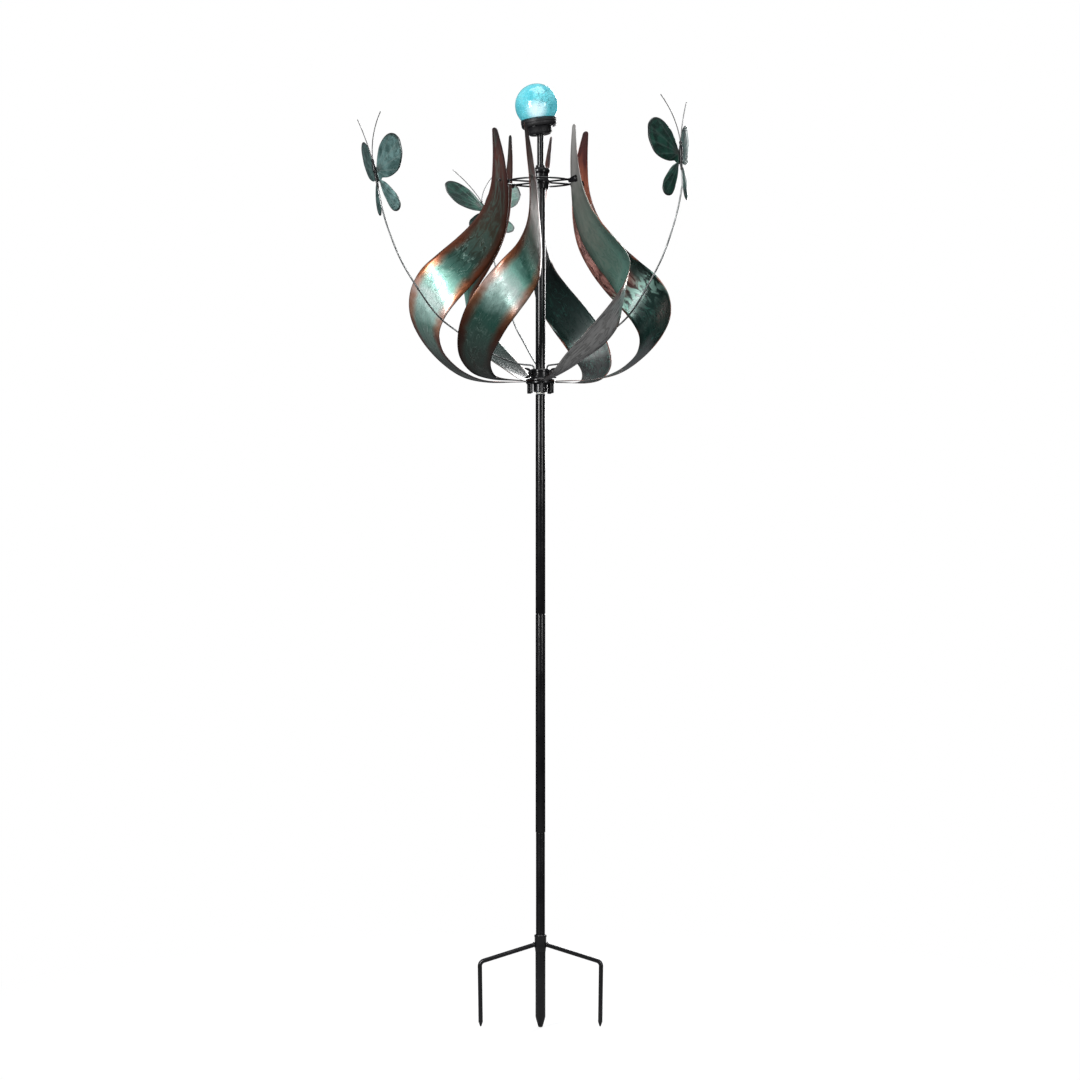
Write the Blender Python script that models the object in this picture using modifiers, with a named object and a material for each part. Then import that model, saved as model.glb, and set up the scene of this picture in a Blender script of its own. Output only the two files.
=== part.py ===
"""Kinetic wind sculpture: a six-petal tulip rotor on a staked pole.

Metres, +Z up.  The origin is the flat tip of the stake's centre spike, on the
pole's axis.  Azimuths are in degrees, counted from +X towards +Y, and the
front of the sculpture is -Y.  The pole, the spindle and the lamp stand still.
The petals, their hubs and the butterflies turn together about the spindle.
"""
import math

import bmesh
import bpy
from mathutils import Matrix, Vector

# --- clearances and tessellation ---------------------------------------------
GAP = 0.0003                # between pieces that touch
RUNNING_GAP = 0.0003        # between the spindle and the bushes
ROUND_SIDES = 16            # sides of turned pieces
FINE_SIDES = 12             # sides of small turned pieces
MERGE = 0.00001

# --- stake ---------------------------------------------------------------------
SPIKE_RADIUS = 0.0113
SPIKE_TIP_RADIUS = 0.0048
SPIKE_TAPER = 0.022
SPIKE_LENGTH = 0.176        # from the tip to the collar
SPIGOT_RADIUS = 0.008
SPIGOT_LENGTH = 0.014
COLLAR_RADIUS = 0.014
COLLAR_HEIGHT = 0.033
PRONG_RADIUS = 0.005
PRONG_REACH = 0.137         # from the axis to a prong's leg
PRONG_DROP = 0.040          # fall of the arm between the collar and its bend
PRONG_ARM_HEIGHT = 0.011    # arm's height above the collar's lower end
PRONG_BEND_RADIUS = 0.014
PRONG_TIP_HEIGHT = 0.0015
PRONG_TOE_IN = 0.002

# --- pole ------------------------------------------------------------------------
POLE_RADIUS = 0.011
POLE_WALL = 0.001
LOWER_POLE_RADIUS = 0.0102
POLE_SHOULDER = 0.004       # of a section's step down to its swaged end
LOWER_POLE_LENGTH = 0.231   # exposed, from the collar to the first joint
POLE_SECTION_LENGTH = 0.494  # exposed, of the middle and of the upper section
SWAGE_LENGTH = 0.060
POLE_SEAT_DEPTH = 0.015     # pole inside the collar

# --- spindle and bearings ------------------------------------------------------
SPINDLE_RADIUS = 0.0075
SPINDLE_WALL = 0.0012
SPINDLE_IN_POLE = 0.070
PLUG_FLANGE = 0.002
PLUG_LENGTH = 0.030
WASHER_RADIUS = 0.0095
WASHER_THICKNESS = 0.002
BUSH_WALL = 0.0014
BUSH_FLANGE = 0.002
BUSH_LENGTH = 0.018
BUSH_SETBACK = 0.0005       # of a bush's flange from the tube's outside
STOP_COLLAR_RADIUS = 0.0105
STOP_COLLAR_HEIGHT = 0.006
ROTOR_TUBE_WALL = 0.0015
ROTOR_TUBE_LENGTH = 0.491

# --- hubs --------------------------------------------------------------------------
HUB_FLANGE_RADIUS = 0.033
HUB_FLANGE_THICKNESS = 0.004
LOWER_SLEEVE_RADIUS = 0.016
LOWER_SLEEVE_LENGTH = 0.019
ROOT_BOLT_CIRCLE = 0.027
ROOT_BOLT_RADIUS = 0.0023
ROOT_BOLT_HEAD_RADIUS = 0.0047
ROOT_BOLT_HEAD_LENGTH = 0.022
STEM_HUB_RADIUS = 0.023
STEM_HUB_HEIGHT = 0.023     # above its flange
UPPER_HUB_RADIUS = 0.019
UPPER_HUB_HEIGHT = 0.035
HUB_CAP_RADIUS = 0.0225
HUB_CAP_HEIGHT = 0.0115

# --- ring that holds the petal necks ----------------------------------------------
NECK_HEIGHT = 0.4505        # ring above the petal roots
NECK_RING_RADIUS = 0.076
NECK_WIRE_RADIUS = 0.002
NECK_COLLAR_WALL = 0.0025
NECK_COLLAR_HEIGHT = 0.010
TAB_THICKNESS = 0.0015
TAB_HEIGHT = 0.016
TAB_REACH = 0.0065          # past the rivet, towards the petal's outer edge
TAB_STAND_OFF = 0.0009      # between the tab and the petal
RIVET_RADIUS = 0.0018
RIVET_HEAD_RADIUS = 0.0038
RIVET_HEAD_HEIGHT = 0.0016

# --- petals --------------------------------------------------------------------------
PETAL_COUNT = 6
PETAL_FIRST_AZIMUTH = 180.0
PETAL_SKEWS = (0.0, -3.0, 0.0, 0.0, 2.0, -4.0)   # each petal as it is bolted on
PETAL_THICKNESS = 0.001
PETAL_STEPS = 30
# Stations along both edges, tip to root: radius, azimuth from the petal's own,
# height above the root.
PETAL_OUTER_EDGE = (
    (0.112, 14.0, 0.570), (0.112, 17.0, 0.502), (0.119, 21.0, 0.440),
    (0.138, 23.0, 0.390), (0.167, 23.5, 0.350), (0.202, 22.5, 0.315),
    (0.242, 20.0, 0.280), (0.277, 15.0, 0.244), (0.295, 8.0, 0.199),
    (0.294, 0.0, 0.148), (0.273, -8.0, 0.096), (0.237, -16.0, 0.048),
    (0.190, -21.0, 0.014), (0.133, -24.5, 0.001), (0.066, -29.0, 0.0),
    (0.0215, -43.0, 0.0))
PETAL_INNER_EDGE = (
    (0.101, 15.0, 0.569), (0.087, 21.0, 0.502), (0.082, 27.0, 0.434),
    (0.086, 31.0, 0.369), (0.104, 34.0, 0.310), (0.138, 34.0, 0.257),
    (0.176, 32.0, 0.212), (0.207, 27.0, 0.174), (0.228, 21.0, 0.137),
    (0.234, 15.0, 0.103), (0.222, 8.0, 0.068), (0.198, 0.0, 0.041),
    (0.168, -7.0, 0.019), (0.128, -14.0, 0.004), (0.066, -12.5, 0.0),
    (0.0215, 1.0, 0.0))
ROOT_AZIMUTH = -21.0        # middle of the root, from the petal's own azimuth

# --- butterflies ------------------------------------------------------------------
BUTTERFLY_NAMES = ("left", "right", "back")
SOCKET_AZIMUTHS = (210.0, 330.0, 90.0)
STEM_AZIMUTHS = (205.0, 321.0, 98.0)
STEM_SWAYS = (0.0, 0.0, 12.0)     # sideways bow of a stem, degrees at its end
SOCKET_CIRCLE = 0.017
SOCKET_DEPTH = 0.020
SOCKET_CLEARANCE = 0.0005
STEM_RADIUS = 0.0019
STEM_BEND_RADIUS = 0.007
# Stem's route: distance from its socket, height above the petal roots.
STEM_ROUTE = (
    (0.047, 0.040), (0.110, 0.062), (0.190, 0.107), (0.240, 0.144),
    (0.291, 0.209), (0.325, 0.262), (0.350, 0.318), (0.366, 0.365),
    (0.376, 0.410))
STEM_TOP_LENGTHS = (0.010, 0.038, 0.010)   # straight end, in line with the body
BUTTERFLY_LEANS = (12.0, -3.0, 40.0)       # outwards, from the vertical
BUTTERFLY_TURNS = (5.0, 6.0, 0.0)          # about the body's own line
WING_SCREW_RADIUS = 0.002
WING_SCREW_HUB_RADIUS = 0.0045
WING_SCREW_HUB_LENGTH = 0.007
WING_SCREW_PLATE = 0.0025
WING_SCREW_SPREAD = 0.0115
WING_SCREW_REACH = 0.018
BODY_LENGTH = 0.063
BODY_RADIUS = 0.0034
BODY_SOCKET = 0.006
BODY_SWELL = 1.15           # of the body's thickest part
WING_THICKNESS = 0.0008
WING_DIHEDRAL = 13.0
WING_CUP = 0.0025           # rise of a wing's middle over its edge
WING_CREASE = 0.003         # half of the flat strip between the two sides
WING_ROOT_HEIGHTS = (0.014, -0.005, -0.020)   # top, waist and bottom of that strip
# Outlines of one side's wings, from the strip's top to its waist and from there
# to its bottom: distance out from the body, height along it from its middle.
UPPER_WING = (
    (0.007, 0.024), (0.014, 0.039), (0.026, 0.057), (0.045, 0.071), (0.065, 0.077),
    (0.083, 0.073), (0.094, 0.061), (0.097, 0.044), (0.095, 0.028), (0.087, 0.011),
    (0.074, -0.003), (0.055, -0.011), (0.034, -0.014), (0.017, -0.012))
LOWER_WING = (
    (0.024, -0.024), (0.039, -0.039), (0.052, -0.055), (0.058, -0.071),
    (0.055, -0.084), (0.043, -0.090), (0.029, -0.086), (0.019, -0.072),
    (0.013, -0.052), (0.009, -0.032))
UPPER_WING_MIDDLE = (0.053, 0.033)
LOWER_WING_MIDDLE = (0.033, -0.060)
WING_NOTCH = (0.010, -0.0160)
ANTENNA_RADIUS = 0.0008
ANTENNA_RISE = 0.104
ANTENNA_SPREAD = 0.056

# --- lamp ----------------------------------------------------------------------------
LAMP_TILT = 7.0             # the lamp sits a little crooked on the spindle
LAMP_FOOT_HEIGHT = 0.5575   # lamp's lower end above the petal roots
BOSS_RADIUS = 0.026
BOSS_HEIGHT = 0.017
BASE_RADIUS = 0.0405
BASE_HEIGHT = 0.016
BASE_WALL = 0.0025
BASE_FLOOR = 0.003
SPINDLE_IN_LAMP = 0.008
LAMP_BORE_CLEARANCE = 0.0019
GLOBE_RADIUS = 0.0492
GLOBE_WALL = 0.002
GLOBE_MOUTH_RADIUS = 0.0365
RING_WALL = 0.002
RING_SEAT = 0.0022          # between the globe's mouth and the ring
RING_HEIGHT = 0.0017
PANEL_THICKNESS = 0.002
BATTERY_RADIUS = 0.0052
BATTERY_LENGTH = 0.044
BOARD_LENGTH = 0.040
BOARD_WIDTH = 0.012
BOARD_THICKNESS = 0.0016
SWITCH_AZIMUTH = 250.0
SWITCH_CIRCLE = 0.0320
SWITCH_LENGTH = 0.006
SWITCH_WIDTH = 0.004
SWITCH_TRAVEL = 0.003
SWITCH_STICK_OUT = 0.0025

# --- levels that follow from the sizes above --------------------------------------
COLLAR_BOTTOM = SPIKE_LENGTH
COLLAR_TOP = COLLAR_BOTTOM + COLLAR_HEIGHT
FIRST_JOINT = COLLAR_TOP + LOWER_POLE_LENGTH
SECOND_JOINT = FIRST_JOINT + POLE_SECTION_LENGTH
POLE_TOP = SECOND_JOINT + POLE_SECTION_LENGTH
POLE_BORE_RADIUS = POLE_RADIUS - POLE_WALL
PLUG_TOP = POLE_TOP + PLUG_FLANGE
WASHER_BOTTOM = PLUG_TOP + GAP
WASHER_TOP = WASHER_BOTTOM + WASHER_THICKNESS
BUSH_BORE_RADIUS = SPINDLE_RADIUS + RUNNING_GAP
BUSH_RADIUS = BUSH_BORE_RADIUS + BUSH_WALL
ROTOR_TUBE_BORE = BUSH_RADIUS + GAP
ROTOR_TUBE_RADIUS = ROTOR_TUBE_BORE + ROTOR_TUBE_WALL
HUB_BORE_RADIUS = ROTOR_TUBE_RADIUS + GAP
ROTOR_TUBE_BOTTOM = WASHER_TOP + GAP + BUSH_FLANGE + GAP
ROTOR_TUBE_TOP = ROTOR_TUBE_BOTTOM + ROTOR_TUBE_LENGTH
LOWER_HUB_BOTTOM = ROTOR_TUBE_BOTTOM + GAP
LOWER_HUB_TOP = LOWER_HUB_BOTTOM + LOWER_SLEEVE_LENGTH + HUB_FLANGE_THICKNESS
ROOT_HEIGHT = LOWER_HUB_TOP + GAP + PETAL_THICKNESS / 2
STEM_HUB_BOTTOM = ROOT_HEIGHT + PETAL_THICKNESS / 2 + GAP
STEM_HUB_SHOULDER = STEM_HUB_BOTTOM + HUB_FLANGE_THICKNESS
STEM_HUB_TOP = STEM_HUB_SHOULDER + STEM_HUB_HEIGHT
SOCKET_BOTTOM = STEM_HUB_TOP - SOCKET_DEPTH
BOB_PIVOT_HEIGHT = STEM_HUB_TOP - SOCKET_DEPTH / 2
NECK_RING_HEIGHT = ROOT_HEIGHT + NECK_HEIGHT
UPPER_HUB_TOP = ROTOR_TUBE_TOP + GAP + BUSH_FLANGE + 2 * GAP
UPPER_HUB_BOTTOM = UPPER_HUB_TOP - UPPER_HUB_HEIGHT
HUB_CAP_BOTTOM = UPPER_HUB_TOP + GAP
HUB_CAP_TOP = HUB_CAP_BOTTOM + HUB_CAP_HEIGHT
STOP_COLLAR_BOTTOM = HUB_CAP_TOP + 2 * GAP
LAMP_FOOT = ROOT_HEIGHT + LAMP_FOOT_HEIGHT
SPINDLE_BOTTOM = POLE_TOP - SPINDLE_IN_POLE
TILT = math.radians(LAMP_TILT)
SPINDLE_TOP = (LAMP_FOOT + SPINDLE_IN_LAMP * math.cos(TILT)
               - (SPINDLE_RADIUS + LAMP_BORE_CLEARANCE) * math.sin(TILT) - GAP)


# --- scene, materials and shapes ---------------------------------------------------
def clear_scene():
    for obj in list(bpy.data.objects):
        bpy.data.objects.remove(obj, do_unlink=True)


def new_collection(name):
    collection = bpy.data.collections.new(name)
    bpy.context.scene.collection.children.link(collection)
    return collection


clear_scene()
PARTS = new_collection("kinetic_wind_sculpture")
CUTTERS = new_collection("cutters")


def material(name, color, roughness, metallic):
    mat = bpy.data.materials.new(name)
    mat.use_nodes = True
    shader = mat.node_tree.nodes["Principled BSDF"]
    shader.inputs["Base Color"].default_value = (*color, 1.0)
    shader.inputs["Roughness"].default_value = roughness
    shader.inputs["Metallic"].default_value = metallic
    return mat


BLACK_PAINT = ((0.02, 0.02, 0.022), 0.4, 0.2)
BLACK_PLASTIC = ((0.015, 0.015, 0.016), 0.45, 0.0)
BARE_STEEL = ((0.45, 0.45, 0.44), 0.35, 1.0)
NYLON = ((0.75, 0.74, 0.70), 0.5, 0.0)
PATINA_COPPER = ((0.09, 0.26, 0.21), 0.3, 0.6)
PATINA_TEAL = ((0.05, 0.18, 0.15), 0.4, 0.5)
CRACKLE_GLASS = ((0.10, 0.60, 0.72), 0.1, 0.0)
SOLAR_BLUE = ((0.02, 0.05, 0.09), 0.2, 0.0)
BOARD_GREEN = ((0.02, 0.20, 0.08), 0.5, 0.0)
BATTERY_GREY = ((0.30, 0.32, 0.34), 0.35, 0.6)


def mesh_object(name, bm, look=None, collection=PARTS):
    mesh = bpy.data.meshes.new(name)
    bm.to_mesh(mesh)
    bm.free()
    mesh.shade_smooth()
    mesh.set_sharp_from_angle(angle=math.radians(35))
    obj = bpy.data.objects.new(name, mesh)
    collection.objects.link(obj)
    if look:
        mesh.materials.append(material(name, *look))
    return obj


def turned(name, profile, look, sides=ROUND_SIDES, closed=False):
    """A turned piece.  The profile is radius and height, down the outer side."""
    bm = bmesh.new()
    verts = [bm.verts.new((radius, 0, height)) for radius, height in profile]
    for first, second in zip(verts, verts[1:]):
        bm.edges.new((first, second))
    if closed:
        bm.edges.new((verts[-1], verts[0]))
    obj = mesh_object(name, bm, look)
    screw = obj.modifiers.new("turn", "SCREW")
    screw.steps = sides
    screw.render_steps = sides
    screw.use_merge_vertices = True
    screw.merge_threshold = MERGE
    return obj


def sleeve(name, outer, inner, bottom, top, look, chamfer=0.0):
    """A plain tube or ring, with a chamfer on its outer corners if one is given."""
    profile = ((inner, top), (outer, top), (outer, bottom), (inner, bottom))
    if chamfer:
        profile = ((inner, top), (outer - chamfer, top), (outer, top - chamfer),
                   (outer, bottom + chamfer), (outer - chamfer, bottom), (inner, bottom))
    return turned(name, profile, look, closed=True)


def wire(name, points, radius, look, resolution=2):
    """A round wire through the points, as a curve with filled caps."""
    curve = bpy.data.curves.new(name, "CURVE")
    curve.dimensions = "3D"
    curve.bevel_depth = radius
    curve.bevel_resolution = resolution
    curve.use_fill_caps = True
    spline = curve.splines.new("POLY")
    spline.points.add(len(points) - 1)
    for target, point in zip(spline.points, points):
        target.co = (*point, 1.0)
    obj = bpy.data.objects.new(name, curve)
    PARTS.objects.link(obj)
    if look:
        curve.materials.append(material(name, *look))
    return obj


def as_mesh(obj, look):
    """The curve object as a welded mesh object of the same name."""
    bpy.context.view_layer.update()
    evaluated = obj.evaluated_get(bpy.context.evaluated_depsgraph_get())
    mesh = bpy.data.meshes.new_from_object(evaluated)
    bm = bmesh.new()
    bm.from_mesh(mesh)
    bmesh.ops.remove_doubles(bm, verts=bm.verts, dist=MERGE)
    name = obj.name
    matrix = obj.matrix_world.copy()
    bpy.data.objects.remove(obj, do_unlink=True)
    bpy.data.meshes.remove(mesh)
    result = mesh_object(name, bm, look)
    result.matrix_world = matrix
    return result


def add_cylinder(bm, radius, bottom, top, sides=FINE_SIDES):
    """A cylinder whose axis runs from the point bottom to the point top."""
    axis = Vector(top) - Vector(bottom)
    turn = axis.to_track_quat("Z", "Y").to_matrix().to_4x4()
    place = Matrix.Translation((Vector(bottom) + Vector(top)) / 2) @ turn
    bmesh.ops.create_cone(bm, cap_ends=True, segments=sides, radius1=radius,
                          radius2=radius, depth=axis.length, matrix=place)


def cutter(name, bm):
    obj = mesh_object(name, bm, collection=CUTTERS)
    obj.hide_render = True
    obj.display_type = "WIRE"
    return obj


def boolean(obj, other, operation="DIFFERENCE"):
    modifier = obj.modifiers.new(operation.lower() + "_" + other.name, "BOOLEAN")
    modifier.operation = operation
    modifier.object = other
    modifier.solver = "EXACT"


def polar(radius, azimuth, height):
    angle = math.radians(azimuth)
    return Vector((radius * math.cos(angle), radius * math.sin(angle), height))


def smooth_curve(points, place):
    """A point of the smooth curve through the points; place runs from 0 to 1."""
    last = len(points) - 1
    span = min(int(place * last), last - 1)
    t = place * last - span
    before = points[span - 1] if span else 2 * points[0] - points[1]
    start, end = points[span], points[span + 1]
    after = points[span + 2] if span + 2 <= last else 2 * points[last] - points[last - 1]
    return 0.5 * (2 * start + (end - before) * t
                  + (2 * before - 5 * start + 4 * end - after) * t ** 2
                  + (3 * start - before - 3 * end + after) * t ** 3)


# --- stake and pole -------------------------------------------------------------------
def make_stake():
    turned("stake_spike", (
        (0, SPIKE_LENGTH + SPIGOT_LENGTH), (SPIGOT_RADIUS, SPIKE_LENGTH + SPIGOT_LENGTH),
        (SPIGOT_RADIUS, SPIKE_LENGTH - GAP), (SPIKE_RADIUS, SPIKE_LENGTH - GAP),
        (SPIKE_RADIUS, SPIKE_TAPER), (SPIKE_TIP_RADIUS, 0), (0, 0)), BLACK_PAINT)
    seat = COLLAR_TOP - POLE_SEAT_DEPTH - GAP
    collar = turned("stake_collar", (
        (LOWER_POLE_RADIUS + GAP, COLLAR_TOP), (COLLAR_RADIUS - 0.001, COLLAR_TOP),
        (COLLAR_RADIUS, COLLAR_TOP - 0.001), (COLLAR_RADIUS, COLLAR_BOTTOM + 0.001),
        (COLLAR_RADIUS - 0.001, COLLAR_BOTTOM), (SPIGOT_RADIUS + GAP, COLLAR_BOTTOM),
        (SPIGOT_RADIUS + GAP, seat), (LOWER_POLE_RADIUS + GAP, seat)),
        BLACK_PAINT, closed=True)
    bm = bmesh.new()
    for side in (-1, 1):
        start, direction = prong_start(side)
        add_cylinder(bm, PRONG_RADIUS + GAP, start - 0.002 * direction,
                     start + 0.02 * direction)
    boolean(collar, cutter("prong_drill", bm))
    for side, name in ((-1, "prong_left"), (1, "prong_right")):
        wire(name, prong_route(side), PRONG_RADIUS, BLACK_PAINT)


def prong_start(side):
    """Where a prong's arm starts inside the collar, and the way that it runs."""
    start = Vector((side * (SPIGOT_RADIUS + 4 * GAP + 0.001), 0,
                    COLLAR_BOTTOM + PRONG_ARM_HEIGHT))
    bend = Vector((side * PRONG_REACH, 0, start.z - PRONG_DROP))
    return start, (bend - start).normalized()


def prong_route(side):
    """The arm, a rounded bend and the leg, which toes in a little."""
    start, arm = prong_start(side)
    corner = start + arm * (PRONG_REACH - abs(start.x)) / abs(arm.x)
    foot = Vector((side * (PRONG_REACH - PRONG_TOE_IN), 0, PRONG_TIP_HEIGHT))
    leg = (foot - corner).normalized()
    cut = PRONG_BEND_RADIUS * math.tan(arm.angle(leg) / 2)
    first, last = corner - arm * cut, corner + leg * cut
    points = [start]
    for step in range(7):
        t = step / 6
        points.append((1 - t) ** 2 * first + 2 * t * (1 - t) * corner + t * t * last)
    return points + [foot]


def make_pole():
    def section(name, radius, bottom, top, swaged):
        bore = radius - POLE_WALL
        neck = POLE_BORE_RADIUS - GAP
        if not swaged:
            return sleeve(name, radius, bore, bottom, top, BLACK_PAINT)
        swage_top = top + SWAGE_LENGTH
        return turned(name, (
            (neck - POLE_WALL, swage_top), (neck, swage_top), (neck, top + POLE_SHOULDER),
            (radius, top - GAP), (radius, bottom), (bore, bottom),
            (bore, top - 0.003), (neck - POLE_WALL, top + 0.001)),
            BLACK_PAINT, closed=True)

    section("pole_lower", LOWER_POLE_RADIUS, COLLAR_TOP - POLE_SEAT_DEPTH,
            FIRST_JOINT - POLE_SHOULDER, True)
    section("pole_middle", POLE_RADIUS, FIRST_JOINT, SECOND_JOINT - POLE_SHOULDER, True)
    section("pole_upper", POLE_RADIUS, SECOND_JOINT, POLE_TOP, False)
    turned("pole_plug", (
        (SPINDLE_RADIUS + GAP, PLUG_TOP), (POLE_RADIUS, PLUG_TOP),
        (POLE_RADIUS, POLE_TOP + GAP), (POLE_BORE_RADIUS - GAP, POLE_TOP + GAP),
        (POLE_BORE_RADIUS - GAP, POLE_TOP - PLUG_LENGTH),
        (SPINDLE_RADIUS + GAP, POLE_TOP - PLUG_LENGTH)), BLACK_PLASTIC, closed=True)


def make_spindle():
    sleeve("spindle", SPINDLE_RADIUS, SPINDLE_RADIUS - SPINDLE_WALL, SPINDLE_BOTTOM,
           SPINDLE_TOP, BLACK_PAINT)
    sleeve("thrust_washer", WASHER_RADIUS, SPINDLE_RADIUS + GAP, WASHER_BOTTOM,
           WASHER_TOP, NYLON)
    sleeve("stop_collar", STOP_COLLAR_RADIUS, SPINDLE_RADIUS + GAP,
           STOP_COLLAR_BOTTOM, STOP_COLLAR_BOTTOM + STOP_COLLAR_HEIGHT, BLACK_PAINT)


# --- rotor ---------------------------------------------------------------------------
def petal_azimuth(index):
    return PETAL_FIRST_AZIMUTH + index * 360.0 / PETAL_COUNT + PETAL_SKEWS[index]


def petal_edge(stations):
    """An edge's stations as points, for the petal at azimuth 0."""
    return [polar(radius, azimuth, ROOT_HEIGHT + height)
            for radius, azimuth, height in stations]


OUTER_EDGE = petal_edge(PETAL_OUTER_EDGE)
INNER_EDGE = petal_edge(PETAL_INNER_EDGE)


def petal_point(along, across):
    """A point of the petal at azimuth 0; across runs from -1 outer to 1 inner."""
    outer = smooth_curve(OUTER_EDGE, along)
    inner = smooth_curve(INNER_EDGE, along)
    return outer.lerp(inner, (across + 1) / 2)


def neck_frame():
    """The rivet's point on the petal at azimuth 0, level with the neck ring, with
    axes across the petal, out of its inner face, and along it."""
    place = 0.0
    while petal_point(place, 0.0).z > NECK_RING_HEIGHT:
        place += 0.0005
    centre = petal_point(place, 0.0)
    across = (petal_point(place, 1.0) - centre).normalized()
    along = petal_point(place - 0.02, 0.0) - petal_point(place + 0.02, 0.0)
    normal = along.cross(across).normalized()
    return centre, across, normal, across.cross(normal)


def make_petal(index, drills):
    bm = bmesh.new()
    places = [step / PETAL_STEPS for step in range(PETAL_STEPS + 1)]
    rows = [[bm.verts.new(petal_point(along, side)) for side in (-1, 1)]
            for along in places]
    for upper, lower in zip(rows, rows[1:]):
        bm.faces.new((upper[0], upper[1], lower[1], lower[0]))
    bm.normal_update()
    petal = mesh_object("petal_%d" % (index + 1), bm, PATINA_COPPER)
    petal.rotation_euler.z = math.radians(petal_azimuth(index))
    petal.parent = ROTOR_AXIS
    solid = petal.modifiers.new("sheet", "SOLIDIFY")
    solid.thickness = PETAL_THICKNESS
    solid.offset = 0
    for drill in drills:
        boolean(petal, drill)


def root_drill():
    """The six holes of the root bolts, as one cutter."""
    bm = bmesh.new()
    for index in range(PETAL_COUNT):
        azimuth = petal_azimuth(index) + ROOT_AZIMUTH
        add_cylinder(bm, ROOT_BOLT_RADIUS + GAP,
                     polar(ROOT_BOLT_CIRCLE, azimuth, LOWER_HUB_TOP - 0.01),
                     polar(ROOT_BOLT_CIRCLE, azimuth, STEM_HUB_SHOULDER + 0.003))
    return cutter("root_drill", bm)


def neck_drill():
    """The six rivet holes through the petal necks and the tabs."""
    bm = bmesh.new()
    centre, _, normal, _ = neck_frame()
    for index in range(PETAL_COUNT):
        turn = Matrix.Rotation(math.radians(petal_azimuth(index)), 4, "Z")
        add_cylinder(bm, RIVET_RADIUS + GAP, turn @ (centre - 0.006 * normal),
                     turn @ (centre + 0.006 * normal))
    return cutter("neck_drill", bm)


def make_rotor_tube():
    tube = sleeve("rotor_tube", ROTOR_TUBE_RADIUS, ROTOR_TUBE_BORE, ROTOR_TUBE_BOTTOM,
                  ROTOR_TUBE_TOP, BLACK_PAINT)
    flange_radius = ROTOR_TUBE_RADIUS - BUSH_SETBACK
    lower = turned("lower_bush", (
        (BUSH_BORE_RADIUS, ROTOR_TUBE_BOTTOM + BUSH_LENGTH),
        (BUSH_RADIUS, ROTOR_TUBE_BOTTOM + BUSH_LENGTH),
        (BUSH_RADIUS, ROTOR_TUBE_BOTTOM - GAP), (flange_radius, ROTOR_TUBE_BOTTOM - GAP),
        (flange_radius, WASHER_TOP + GAP), (BUSH_BORE_RADIUS, WASHER_TOP + GAP)),
        NYLON, closed=True)
    upper = turned("upper_bush", (
        (BUSH_BORE_RADIUS, ROTOR_TUBE_TOP + GAP + BUSH_FLANGE),
        (flange_radius, ROTOR_TUBE_TOP + GAP + BUSH_FLANGE),
        (flange_radius, ROTOR_TUBE_TOP + GAP), (BUSH_RADIUS, ROTOR_TUBE_TOP + GAP),
        (BUSH_RADIUS, ROTOR_TUBE_TOP - BUSH_LENGTH),
        (BUSH_BORE_RADIUS, ROTOR_TUBE_TOP - BUSH_LENGTH)), NYLON, closed=True)
    return [tube, lower, upper]


def make_hubs(root_holes):
    lower = turned("lower_hub", (
        (HUB_BORE_RADIUS, LOWER_HUB_TOP), (HUB_FLANGE_RADIUS, LOWER_HUB_TOP),
        (HUB_FLANGE_RADIUS, LOWER_HUB_TOP - HUB_FLANGE_THICKNESS),
        (LOWER_SLEEVE_RADIUS, LOWER_HUB_TOP - HUB_FLANGE_THICKNESS),
        (LOWER_SLEEVE_RADIUS, LOWER_HUB_BOTTOM), (HUB_BORE_RADIUS, LOWER_HUB_BOTTOM)),
        BLACK_PAINT, closed=True)
    boolean(lower, root_holes)
    stem_hub = turned("stem_hub", (
        (HUB_BORE_RADIUS, STEM_HUB_TOP), (STEM_HUB_RADIUS - 0.002, STEM_HUB_TOP),
        (STEM_HUB_RADIUS, STEM_HUB_TOP - 0.002), (STEM_HUB_RADIUS, STEM_HUB_SHOULDER),
        (HUB_FLANGE_RADIUS, STEM_HUB_SHOULDER), (HUB_FLANGE_RADIUS, STEM_HUB_BOTTOM),
        (HUB_BORE_RADIUS, STEM_HUB_BOTTOM)), BLACK_PAINT, closed=True)
    boolean(stem_hub, root_holes)
    bm = bmesh.new()
    for azimuth in SOCKET_AZIMUTHS:
        add_cylinder(bm, STEM_RADIUS + SOCKET_CLEARANCE,
                     polar(SOCKET_CIRCLE, azimuth, SOCKET_BOTTOM),
                     polar(SOCKET_CIRCLE, azimuth, STEM_HUB_TOP + 0.005))
    boolean(stem_hub, cutter("socket_drill", bm))
    bm = bmesh.new()
    for azimuth in SOCKET_AZIMUTHS:
        add_cylinder(bm, WING_SCREW_RADIUS + GAP,
                     polar(SOCKET_CIRCLE, azimuth, BOB_PIVOT_HEIGHT),
                     polar(STEM_HUB_RADIUS + 0.005, azimuth, BOB_PIVOT_HEIGHT))
    boolean(stem_hub, cutter("wing_screw_drill", bm))
    upper = sleeve("upper_hub", UPPER_HUB_RADIUS, HUB_BORE_RADIUS, UPPER_HUB_BOTTOM,
                   UPPER_HUB_TOP, BLACK_PAINT, chamfer=0.001)
    cap = sleeve("hub_cap", HUB_CAP_RADIUS, SPINDLE_RADIUS + 2 * RUNNING_GAP,
                 HUB_CAP_BOTTOM, HUB_CAP_TOP, BLACK_PAINT, chamfer=0.002)
    return [lower, stem_hub, upper, cap]


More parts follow.
